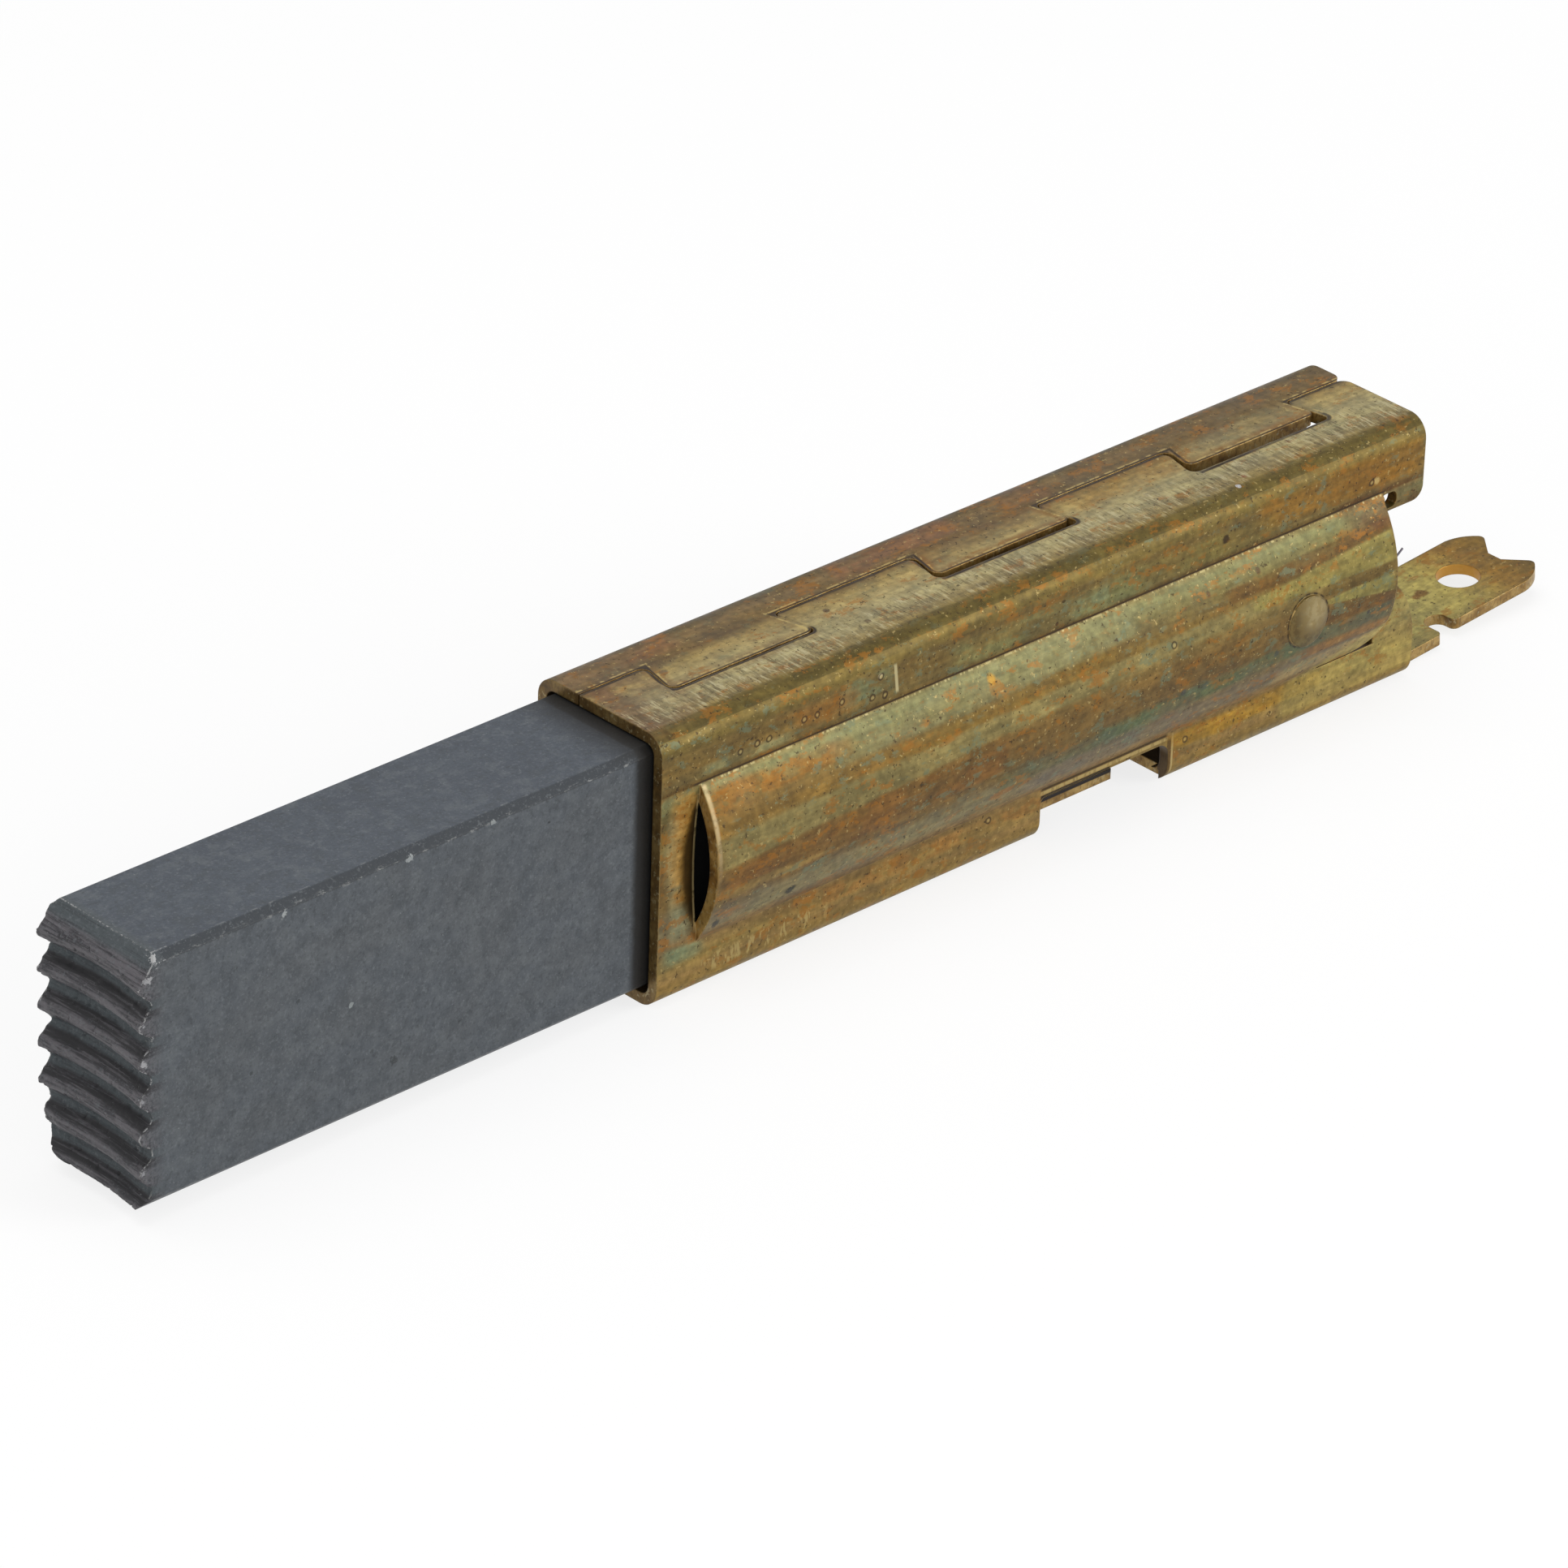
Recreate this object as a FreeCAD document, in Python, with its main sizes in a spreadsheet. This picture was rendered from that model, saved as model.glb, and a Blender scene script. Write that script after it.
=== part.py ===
import FreeCAD, Part
import Sketcher
import math
import os

# Motor brush cartridge: a graphite block slides in a sleeve folded from one brass strip.
# The origin lies on the sleeve's base, under the middle of the sleeve's length.
# X runs from the worn tip to the terminal tab, Y across the narrow way, Z up.
# Places along the sleeve are counted from its mouth, and tails from its rear end.
# The near side is the one at -Y.

sizes = {
    # sleeve strip
    "sleeveLength": 43.4,
    "sleeveWidth": 7.3,
    "sleeveHeight": 12.3,
    "sheetThick": 0.5,
    "bendRadius": 0.95,
    # long bulges pressed out of the two wide walls
    "bulgeFront": 2.05,
    "bulgeTail": 2.5,
    "bulgeLean": 0.08,
    "bulgeLow": 2.48,
    "bulgeHigh": 9.62,
    "bulgeRise": 1.2,
    "drawLength": 1.05,
    "drawDepth": 0.2,
    "drawRadius": 24.0,
    "shearLength": 3.5,
    "shearGap": 0.12,
    "shearRadius": 1.7,
    # weld dome on the near bulge
    "buttonTail": 7.9,
    "buttonHigh": 5.9,
    "buttonRadius": 1.15,
    "buttonRise": 0.2,
    "buttonBall": 3.9,
    # seam along the top, with dovetail tabs of the far half in slots of the near half
    "seamOffset": 1.3,
    "seamGap": 0.08,
    "tabFirst": 3.05,
    "tabTail": 3.1,
    "tabCount": 3,
    "tabLength": 7.85,
    "tabReach": 2.06,
    "tabShortening": 0.25,
    "tabFlare": 0.5,
    "tabNoseRadius": 0.4,
    "tabHeelRadius": 0.3,
    "tabFrontGap": 0.05,
    "tabFrontGapGrowth": 0.09,
    "tabRearGap": 0.01,
    "slotGap": 0.12,
    "slotSpread": 0.05,
    "seamEndRadius": 0.5,
    # window in the near lower corner, and the latch cut at its rear end
    "windowFront": 21.3,
    "windowRear": 28.75,
    "windowTop": 2.05,
    "windowDepth": 1.9,
    "windowFrontRadius": 0.3,
    "windowRearRadius": 0.6,
    "latchFront": 27.35,
    "latchRear": 29.15,
    "latchDepth": 3.6,
    # rear ends of the wide walls
    "reliefLength": 0.9,
    "reliefTop": 9.5,
    "reliefRadius": 0.3,
    "hookLow": 8.65,
    "hookLip": 0.12,
    "hookRadius": 0.6,
    "marginLow": 1.9,
    "marginRadius": 4.2,
    # terminal tab, in one piece with the floor
    "tiltAngle": 5.0,
    "rootWidth": 5.55,
    "rootLength": 2.95,
    "rootRadius": 0.25,
    "neckLength": 1.12,
    "neckWidth": 2.8,
    "neckRadius": 0.5,
    "bladeWidth": 4.8,
    "bladeLength": 10.05,
    "bladeStartRadius": 0.3,
    "taperLength": 1.5,
    "taperRadius": 2.1,
    "forkSpread": 2.95,
    "forkDepth": 0.9,
    "forkFloor": 0.75,
    "forkTipRadius": 0.3,
    "holeRadius": 0.97,
    "holePlace": 6.86,
    # graphite block
    "sideGap": 0.12,
    "topGap": 0.07,
    "baseGap": 0.23,
    "blockLength": 36.0,
    "tipReach": 26.05,
    "blockChamfer": 0.33,
    "wearRadius": 15.5,
    "ridgePitch": 1.63,
    "ridgeDepth": 0.6,
    "ridgeTop": 1.14,
    "ridgeLand": 0.28,
    "ridgeReturn": 0.5,
    "ridgeRise": 0.58,
    "bevelDepth": 0.9,
    "bevelFoot": 0.1,
    # broken corner at the far lower end of the worn face
    "breakHeight": 1.15,
    "breakWidth": 1.35,
    "breakRadius": 1.45,
    "breakLength": 2.6,
    "breakEnd": 0.4,
    # tamped contact plug in the block's rear face
    "plugRadius": 1.6,
    "plugDepth": 5.0,
    # braided shunt from the plug to the near bulge
    "braidRadius": 0.6,
    "braidBury": 4.0,
    "strapWidth": 2.0,
    "strapThick": 0.4,
    "strapLead": 1.5,
    "strapWallGap": 0.16,
    "bendTail": 16.0,
    "bendLength": 4.6,
    "braidTail": 4.8,
    # compression spring
    "springRadius": 3.7,
    "springWire": 0.55,
    "springTurns": 9,
    "springEndPitch": 0.62,
    "springEndGap": 0.1,
}
overshoot = 1.0

doc = FreeCAD.newDocument("BrushCartridge")
sheet = doc.addObject("Spreadsheet::Sheet", "Sizes")
for row, (word, value) in enumerate(sizes.items(), start=1):
    sheet.set(f"A{row}", word)
    sheet.set(f"B{row}", str(value))
    sheet.setAlias(f"B{row}", word)
doc.recompute()


def fromMouth(word):
    return f"(Sizes.{word} - Sizes.sleeveLength / 2)"


def fromRear(word):
    return f"(Sizes.sleeveLength / 2 - Sizes.{word})"


# places that several pieces share, in the sheet's words
rearEnd = "(Sizes.sleeveLength / 2)"
halfWidth = "(Sizes.sleeveWidth / 2)"
innerHalfWidth = "(Sizes.sleeveWidth / 2 - Sizes.sheetThick)"
innerTop = "(Sizes.sleeveHeight - Sizes.sheetThick)"
bulgeMiddle = "((Sizes.bulgeLow + Sizes.bulgeHigh) / 2)"
bulgeRadius = (
    "((((Sizes.bulgeHigh - Sizes.bulgeLow) / 2) ^ 2 + Sizes.bulgeRise ^ 2)"
    " / (2 * Sizes.bulgeRise))"
)
bulgeCrest = f"({halfWidth} + Sizes.bulgeRise)"
bulgeRear = fromRear("bulgeTail")
blockTip = "(-Sizes.sleeveLength / 2 - Sizes.tipReach)"
blockRear = f"({blockTip} + Sizes.blockLength)"


def amount(words):
    return float(sheet.evalExpression(words))


def newBody(label):
    body = doc.addObject("PartDesign::Body", label)
    body.Label = label
    return body


# A sketch on one of the body's own planes, moved by an offset along the sketch's own axes.
def newSketch(body, name, role, **offset):
    sketch = body.newObject("Sketcher::SketchObject", name)
    plane = next(f for f in body.Origin.OriginFeatures if f.Role == role)
    sketch.AttachmentSupport = [(plane, "")]
    sketch.MapMode = "FlatFace"
    for axis, words in offset.items():
        sketch.setExpression(f"AttachmentOffset.Base.{axis}", words)
    return sketch


# Draws straight edges and arcs from corner to corner. A corner is an x and a y in the sheet's
# words; a third and fourth value give the radius of an arc to the next corner and its turn,
# which is 1 to the left and -1 to the right.
def drawChain(sketch, corners, closed=True):
    places = [(amount(corner[0]), amount(corner[1])) for corner in corners]
    count = len(corners) if closed else len(corners) - 1
    ends = []
    for i in range(count):
        startX, startY = places[i]
        endX, endY = places[(i + 1) % len(corners)]
        if len(corners[i]) == 2:
            line = Part.LineSegment(FreeCAD.Vector(startX, startY, 0), FreeCAD.Vector(endX, endY, 0))
            edge = sketch.addGeometry(line, False)
            ends.append((edge, 1, 2))
            continue
        radius = amount(corners[i][2])
        turn = corners[i][3]
        chord = math.hypot(endX - startX, endY - startY)
        reach = turn * math.sqrt(radius ** 2 - (chord / 2) ** 2) / chord
        centreX = (startX + endX) / 2 - reach * (endY - startY)
        centreY = (startY + endY) / 2 + reach * (endX - startX)
        startAngle = math.atan2(startY - centreY, startX - centreX)
        endAngle = math.atan2(endY - centreY, endX - centreX)
        circle = Part.Circle(FreeCAD.Vector(centreX, centreY, 0), FreeCAD.Vector(0, 0, 1), radius)
        angles = (startAngle, endAngle) if turn > 0 else (endAngle, startAngle)
        edge = sketch.addGeometry(Part.ArcOfCircle(circle, *angles), False)
        ends.append((edge, 1, 2) if turn > 0 else (edge, 2, 1))
        index = sketch.addConstraint(Sketcher.Constraint("Radius", edge, radius))
        sketch.setExpression(f"Constraints[{index}]", corners[i][2])
    for i in range(count):
        edge, start, end = ends[i]
        pinCorner(sketch, edge, start, places[i], corners[i])
        if i + 1 < count or closed:
            following = ends[(i + 1) % count]
            sketch.addConstraint(Sketcher.Constraint("Coincident", edge, end, following[0], following[1]))
        else:
            pinCorner(sketch, edge, end, places[-1], corners[-1])


def pinCorner(sketch, edge, vertex, place, corner):
    for kind, value, words in zip(("DistanceX", "DistanceY"), place, corner):
        index = sketch.addConstraint(Sketcher.Constraint(kind, -1, 1, edge, vertex, value))
        sketch.setExpression(f"Constraints[{index}]", words)


def drawRectangle(sketch, lowX, highX, lowY, highY):
    drawChain(sketch, [(lowX, lowY), (highX, lowY), (highX, highY), (lowX, highY)])


def drawCircle(sketch, x, y, radius):
    circle = Part.Circle(FreeCAD.Vector(amount(x), amount(y), 0), FreeCAD.Vector(0, 0, 1), amount(radius))
    edge = sketch.addGeometry(circle, False)
    pinCorner(sketch, edge, 3, (amount(x), amount(y)), (x, y))
    index = sketch.addConstraint(Sketcher.Constraint("Radius", edge, amount(radius)))
    sketch.setExpression(f"Constraints[{index}]", radius)


# Adds the sketch's shape, pulled along the sketch's normal. A negative side pulls the other way.
def pad(body, name, sketch, length, side=1):
    feature = body.newObject("PartDesign::Pad", name)
    feature.Profile = sketch
    feature.setExpression("Length", length)
    feature.Reversed = side < 0
    doc.recompute()
    return feature


# Cuts the sketch's shape against the sketch's normal, or both ways through with no length.
def pocket(body, name, sketch, length=None):
    feature = body.newObject("PartDesign::Pocket", name)
    feature.Profile = sketch
    if length is None:
        feature.Type = "ThroughAll"
        feature.Midplane = True
    else:
        feature.setExpression("Length", length)
    doc.recompute()
    checkCut(feature)
    return feature


def turnedCut(body, name, sketch, axis):
    feature = body.newObject("PartDesign::Groove", name)
    feature.Profile = sketch
    feature.ReferenceAxis = (sketch, [axis])
    feature.Angle = 360
    doc.recompute()
    checkCut(feature)
    return feature


def checkCut(feature):
    if feature.Shape.Volume > feature.BaseFeature.Shape.Volume - 1e-6:
        raise RuntimeError(f"{feature.Name} cuts nothing")


# Rounds the straight edges that run along one axis and pass the given places across it.
def roundEdges(body, name, radius, axis, places):
    base = body.Tip
    across = [k for k in range(3) if k != axis]
    found = []
    for number, edge in enumerate(base.Shape.Edges, start=1):
        if edge.Curve.TypeId != "Part::GeomLine":
            continue
        direction = edge.tangentAt(edge.FirstParameter)
        middle = edge.CenterOfMass
        if abs(direction[axis]) > 0.99 and any(
            math.hypot(middle[across[0]] - a, middle[across[1]] - b) < 0.03 for a, b in places
        ):
            found.append(f"Edge{number}")
    if len(found) != len(places):
        raise RuntimeError(f"{name} finds {len(found)} edges of {len(places)}")
    feature = body.newObject("PartDesign::Fillet", name)
    feature.Base = (base, found)
    feature.setExpression("Radius", radius)
    doc.recompute()
    return feature


# Sleeve: the folded strip, with its edges meeting along the top

sleeve = newBody("sleeve")
cornerStart = f"({halfWidth} - Sizes.bendRadius)"
bendTop = "(Sizes.sleeveHeight - Sizes.bendRadius)"
innerBend = "(Sizes.bendRadius - Sizes.sheetThick)"
nearEdge = "(Sizes.seamOffset - Sizes.seamGap)"

foldSketch = newSketch(sleeve, "FoldSketch", "YZ_Plane", z=f"-{rearEnd}")
drawChain(foldSketch, [
    (nearEdge, "Sizes.sleeveHeight"),
    (f"-{cornerStart}", "Sizes.sleeveHeight", "Sizes.bendRadius", 1),
    (f"-{halfWidth}", bendTop),
    (f"-{halfWidth}", "Sizes.bendRadius", "Sizes.bendRadius", 1),
    (f"-{cornerStart}", "0"),
    (cornerStart, "0", "Sizes.bendRadius", 1),
    (halfWidth, "Sizes.bendRadius"),
    (halfWidth, bendTop, "Sizes.bendRadius", 1),
    (cornerStart, "Sizes.sleeveHeight"),
    ("Sizes.seamOffset", "Sizes.sleeveHeight"),
    ("Sizes.seamOffset", innerTop),
    (cornerStart, innerTop, innerBend, -1),
    (innerHalfWidth, bendTop),
    (innerHalfWidth, "Sizes.bendRadius", innerBend, -1),
    (cornerStart, "Sizes.sheetThick"),
    (f"-{cornerStart}", "Sizes.sheetThick", innerBend, -1),
    (f"-{innerHalfWidth}", "Sizes.bendRadius"),
    (f"-{innerHalfWidth}", bendTop, innerBend, -1),
    (f"-{cornerStart}", innerTop),
    (nearEdge, innerTop),
])
pad(sleeve, "Fold", foldSketch, "Sizes.sleeveLength")

# each wide wall is slit at both ends and pressed outwards in an arc between the slits
wallOpening = newSketch(sleeve, "WallOpeningSketch", "XZ_Plane")
drawRectangle(
    wallOpening, fromMouth("bulgeFront"), bulgeRear, "Sizes.bulgeLow", "Sizes.bulgeHigh"
)
pocket(sleeve, "WallOpening", wallOpening)

innerRadius = f"({bulgeRadius} - Sizes.sheetThick)"
innerReach = f"sqrt({innerRadius} ^ 2 - ({bulgeRadius} - Sizes.bulgeRise - Sizes.sheetThick) ^ 2)"
for side, sign, turn in (("Near", "-", -1), ("Far", "", 1)):
    bulge = newSketch(sleeve, f"{side}BulgeSketch", "YZ_Plane", z=fromMouth("bulgeFront"))
    drawChain(bulge, [
        (f"{sign}{halfWidth}", "Sizes.bulgeLow", bulgeRadius, turn),
        (f"{sign}{halfWidth}", "Sizes.bulgeHigh"),
        (f"{sign}{innerHalfWidth}", "Sizes.bulgeHigh"),
        (f"{sign}{innerHalfWidth}", f"{bulgeMiddle} + {innerReach}", innerRadius, -turn),
        (f"{sign}{innerHalfWidth}", f"{bulgeMiddle} - {innerReach}"),
        (f"{sign}{innerHalfWidth}", "Sizes.bulgeLow"),
    ])
    pad(sleeve, f"{side}Bulge", bulge, f"{bulgeRear} - {fromMouth('bulgeFront')}")

# the wall in front of each slit is drawn in by a shallow turned face
for side, sign in (("Near", "-"), ("Far", "")):
    drawIn = newSketch(
        sleeve, f"{side}DrawInSketch", "XY_Plane", x=fromMouth("bulgeFront"),
        y=f"{sign}({halfWidth} - Sizes.drawDepth + Sizes.drawRadius)", z=bulgeMiddle,
    )
    inward = "" if sign == "-" else "-"
    drawChain(drawIn, [
        ("-Sizes.drawLength", f"{inward}(Sizes.drawRadius - Sizes.drawDepth)"),
        ("0", f"{inward}(Sizes.drawRadius - Sizes.drawDepth)"),
        ("0", f"{inward}Sizes.drawRadius"),
    ])
    turnedCut(sleeve, f"{side}DrawIn", drawIn, "H_Axis")

# the lower edge of each bulge is sheared free towards the rear, with a round corner
shearFront = f"({bulgeRear} - Sizes.shearLength)"
shearHigh = "(Sizes.bulgeLow + Sizes.shearGap)"
shear = newSketch(sleeve, "ShearSketch", "XZ_Plane")
drawChain(shear, [
    (shearFront, "Sizes.bulgeLow"),
    (bulgeRear, "Sizes.bulgeLow"),
    (bulgeRear, f"{shearHigh} + Sizes.shearRadius", "Sizes.shearRadius", -1),
    (f"{bulgeRear} - Sizes.shearRadius", shearHigh),
    (shearFront, shearHigh),
])
pocket(sleeve, "Shear", shear)

# behind the bulges each wall keeps an upper hook, whose thin lip closes the hole at the crease's
# end, and a rounded lower margin
reliefFront = f"({bulgeRear} - Sizes.bulgeLean)"
reliefRear = f"({bulgeRear} + Sizes.reliefLength)"
lipTop = "(Sizes.hookLow + Sizes.hookLip)"
marginTop = (
    "(Sizes.marginLow + sqrt(Sizes.marginRadius ^ 2"
    " - (Sizes.marginRadius - Sizes.bulgeTail) ^ 2))"
)
rearOpening = newSketch(sleeve, "RearOpeningSketch", "XZ_Plane")
drawChain(rearOpening, [
    (bulgeRear, marginTop),
    (reliefFront, "Sizes.reliefTop - Sizes.reliefRadius", "Sizes.reliefRadius", -1),
    (f"{reliefFront} + Sizes.reliefRadius", "Sizes.reliefTop"),
    (f"{reliefRear} - Sizes.reliefRadius", "Sizes.reliefTop", "Sizes.reliefRadius", -1),
    (reliefRear, "Sizes.reliefTop - Sizes.reliefRadius"),
    (reliefRear, f"{lipTop} + Sizes.reliefRadius", "Sizes.reliefRadius", -1),
    (f"{reliefRear} - Sizes.reliefRadius", lipTop),
    (bulgeRear, lipTop),
    (bulgeRear, "Sizes.hookLow"),
    (f"{rearEnd} - Sizes.hookRadius", "Sizes.hookLow", "Sizes.hookRadius", 1),
    (rearEnd, "Sizes.hookLow + Sizes.hookRadius"),
    (f"{rearEnd} + Sizes.sheetThick", "Sizes.hookLow + Sizes.hookRadius"),
    (f"{rearEnd} + Sizes.sheetThick", "Sizes.marginLow"),
    (rearEnd, "Sizes.marginLow", "Sizes.marginRadius", 1),
])
pocket(sleeve, "RearOpening", rearOpening)


# The tabs of the far half, and with gaps round them the slots that they fill in the near half.
# A tip's value is what the outline reaches past the first tab's tip at that end.
def tabOutline(index, rootGap="0", frontGap="0", rearGap="0", frontTip="0", rearTip="0"):
    front = f"{fromMouth('tabFirst')} + {index} * {tabPitch}"
    rear = f"{front} + Sizes.tabLength"
    spread = "Sizes.tabFlare / Sizes.tabReach"
    rootIn = f"(Sizes.tabFlare - {rootGap} * {spread})"
    rootY = f"Sizes.seamOffset - {rootGap}"
    tipY = "Sizes.seamOffset - Sizes.tabReach"
    return [
        (f"{front} + {rootIn} - {frontGap}", rootY),
        (f"{front} - {frontTip} * {spread} - {frontGap}", f"{tipY} - {frontTip}"),
        (f"{rear} + {rearTip} * {spread} + {rearGap}", f"{tipY} - {rearTip}"),
        (f"{rear} - {rootIn} + {rearGap}", rootY),
    ]


tabRun = "(Sizes.sleeveLength - Sizes.tabFirst - Sizes.tabLength - Sizes.tabTail)"
tabPitch = f"{tabRun} / (Sizes.tabCount - 1)"
noses = []
heels = []
for index in range(int(amount("Sizes.tabCount"))):
    frontGap = f"(Sizes.tabFrontGap + {index} * Sizes.tabFrontGapGrowth)"
    rearTip = f"(Sizes.slotGap + {index} * Sizes.slotSpread)"
    slotOutline = tabOutline(
        index, "Sizes.seamGap", frontGap, "Sizes.tabRearGap", "Sizes.slotGap", rearTip
    )
    slot = newSketch(sleeve, f"SlotSketch{index}", "XY_Plane", z="Sizes.sleeveHeight")
    drawChain(slot, slotOutline)
    pocket(sleeve, f"Slot{index}", slot, "Sizes.sheetThick")
    tip = f"({index} * -Sizes.tabShortening)"
    filling = tabOutline(index, frontTip=tip, rearTip=tip)
    tab = newSketch(sleeve, f"TabSketch{index}", "XY_Plane", z=innerTop)
    drawChain(tab, filling)
    pad(sleeve, f"Tab{index}", tab, "Sizes.sheetThick")
    for outline in (slotOutline, filling):
        places = [(amount(x), amount(y)) for x, y in outline]
        noses += places[:2]
        heels += places[2:]
roundEdges(sleeve, "TabNoses", "Sizes.tabNoseRadius", 2, noses)
roundEdges(sleeve, "TabHeels", "Sizes.tabHeelRadius", 2, heels)

seamEnds = [(amount(rearEnd), amount(edge)) for edge in (nearEdge, "Sizes.seamOffset")]
roundEdges(sleeve, "SeamEnds", "Sizes.seamEndRadius", 2, seamEnds)

# window in the near lower corner, cut deeper at the latch
window = newSketch(sleeve, "WindowSketch", "XZ_Plane", z=halfWidth)
drawChain(window, [
    (fromMouth("windowFront"), "-Sizes.sheetThick"),
    (fromMouth("windowRear"), "-Sizes.sheetThick"),
    (fromMouth("windowRear"), "Sizes.windowTop - Sizes.windowRearRadius", "Sizes.windowRearRadius", 1),
    (f"{fromMouth('windowRear')} - Sizes.windowRearRadius", "Sizes.windowTop"),
    (f"{fromMouth('windowFront')} + Sizes.windowFrontRadius", "Sizes.windowTop",
     "Sizes.windowFrontRadius", 1),
    (fromMouth("windowFront"), "Sizes.windowTop - Sizes.windowFrontRadius"),
])
pocket(sleeve, "Window", window, "Sizes.windowDepth")

latch = newSketch(sleeve, "LatchSketch", "XY_Plane", z="Sizes.sheetThick")
latchBack = f"(Sizes.latchDepth - {halfWidth})"
latchRadius = "((Sizes.latchRear - Sizes.latchFront) / 2)"
drawChain(latch, [
    (fromMouth("latchFront"), f"Sizes.sheetThick - {halfWidth}"),
    (fromMouth("latchRear"), f"Sizes.sheetThick - {halfWidth}"),
    (fromMouth("latchRear"), f"{latchBack} - {latchRadius}", f"1.001 * {latchRadius}", 1),
    (fromMouth("latchFront"), f"{latchBack} - {latchRadius}"),
])
pocket(sleeve, "Latch", latch, "Sizes.sheetThick")

# terminal tab: the floor carried on past the walls and tilted up
root = "Sizes.rootLength"
neck = "(Sizes.rootLength + Sizes.neckLength)"
halfBlade = "(Sizes.bladeWidth / 2)"
tipFork = "(Sizes.forkSpread / 2)"
blade = newSketch(sleeve, "BladeSketch", "XY_Plane", x=rearEnd)
blade.setExpression("AttachmentOffset.Rotation.Axis.y", "-1")
blade.setExpression("AttachmentOffset.Rotation.Axis.z", "0")
blade.setExpression("AttachmentOffset.Rotation.Angle", "Sizes.tiltAngle")
rootHalf = "(Sizes.rootWidth / 2)"
neckHalf = "(Sizes.neckWidth / 2)"
taperStart = "(Sizes.bladeLength - Sizes.taperLength)"
forkFloor = "(Sizes.bladeLength - Sizes.forkDepth)"
drawChain(blade, [
    ("0", f"-{rootHalf}"),
    (root, f"-{rootHalf}"),
    (root, f"-{neckHalf}"),
    (neck, f"-{neckHalf}"),
    (neck, f"-{halfBlade}"),
    (taperStart, f"-{halfBlade}", "Sizes.taperRadius", 1),
    ("Sizes.bladeLength", f"-{tipFork}"),
    (forkFloor, "-Sizes.forkFloor / 2"),
    (forkFloor, "Sizes.forkFloor / 2"),
    ("Sizes.bladeLength", tipFork, "Sizes.taperRadius", 1),
    (taperStart, halfBlade),
    (neck, halfBlade),
    (neck, neckHalf),
    (root, neckHalf),
    (root, rootHalf),
    ("0", rootHalf),
])
drawCircle(blade, "Sizes.holePlace", "0", "Sizes.holeRadius")
pad(sleeve, "Blade", blade, "Sizes.sheetThick")


# a place on the blade's middle plane, seen from above
def bladePlace(along, across):
    tilt = math.radians(amount("Sizes.tiltAngle"))
    x = amount(rearEnd) + amount(along) * math.cos(tilt) - amount("Sizes.sheetThick / 2") * math.sin(tilt)
    return [(x, amount(across)), (x, -amount(across))]


roundEdges(sleeve, "RootCorners", "Sizes.rootRadius", 2, bladePlace(root, rootHalf))
neckPlaces = bladePlace(root, neckHalf) + bladePlace(neck, neckHalf)
roundEdges(sleeve, "NeckCorners", "Sizes.neckRadius", 2, neckPlaces)
roundEdges(sleeve, "BladeCorners", "Sizes.bladeStartRadius", 2, bladePlace(neck, halfBlade))
roundEdges(sleeve, "ForkTips", "Sizes.forkTipRadius", 2, bladePlace("Sizes.bladeLength", tipFork))

# the shunt's weld shows as a low dome on the near bulge
button = newSketch(sleeve, "ButtonSketch", "XY_Plane", x=fromRear("buttonTail"), z="Sizes.buttonHigh")
domeTop = f"({bulgeCrest} + Sizes.buttonRise)"
domeEdge = (
    f"({domeTop} - Sizes.buttonBall + sqrt(Sizes.buttonBall ^ 2 - Sizes.buttonRadius ^ 2))"
)
buttonBase = f"({bulgeCrest} - Sizes.sheetThick / 2)"
drawChain(button, [
    ("0", f"-{buttonBase}"),
    ("0", f"-{domeTop}", "Sizes.buttonBall", 1),
    ("Sizes.buttonRadius", f"-{domeEdge}"),
    ("Sizes.buttonRadius", f"-{buttonBase}"),
])
dome = sleeve.newObject("PartDesign::Revolution", "Button")
dome.Profile = button
dome.ReferenceAxis = (button, ["V_Axis"])
dome.Angle = 360
doc.recompute()

# Graphite block: it fits the sleeve's inside, and its worn face is ridged and hollowed

carbonBlock = newBody("carbon_block")
blockHalf = f"({innerHalfWidth} - Sizes.sideGap)"
blockLow = "(Sizes.sheetThick + Sizes.baseGap)"
blockHigh = f"({innerTop} - Sizes.topGap)"
chamferHalf = f"({blockHalf} - Sizes.blockChamfer)"
section = newSketch(carbonBlock, "SectionSketch", "YZ_Plane", z=blockTip)
drawChain(section, [
    (f"-{chamferHalf}", blockLow),
    (chamferHalf, blockLow),
    (blockHalf, f"{blockLow} + Sizes.blockChamfer"),
    (blockHalf, f"{blockHigh} - Sizes.blockChamfer"),
    (chamferHalf, blockHigh),
    (f"-{chamferHalf}", blockHigh),
    (f"-{blockHalf}", f"{blockHigh} - Sizes.blockChamfer"),
    (f"-{blockHalf}", f"{blockLow} + Sizes.blockChamfer"),
])
pad(carbonBlock, "Block", section, "Sizes.blockLength")

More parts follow.
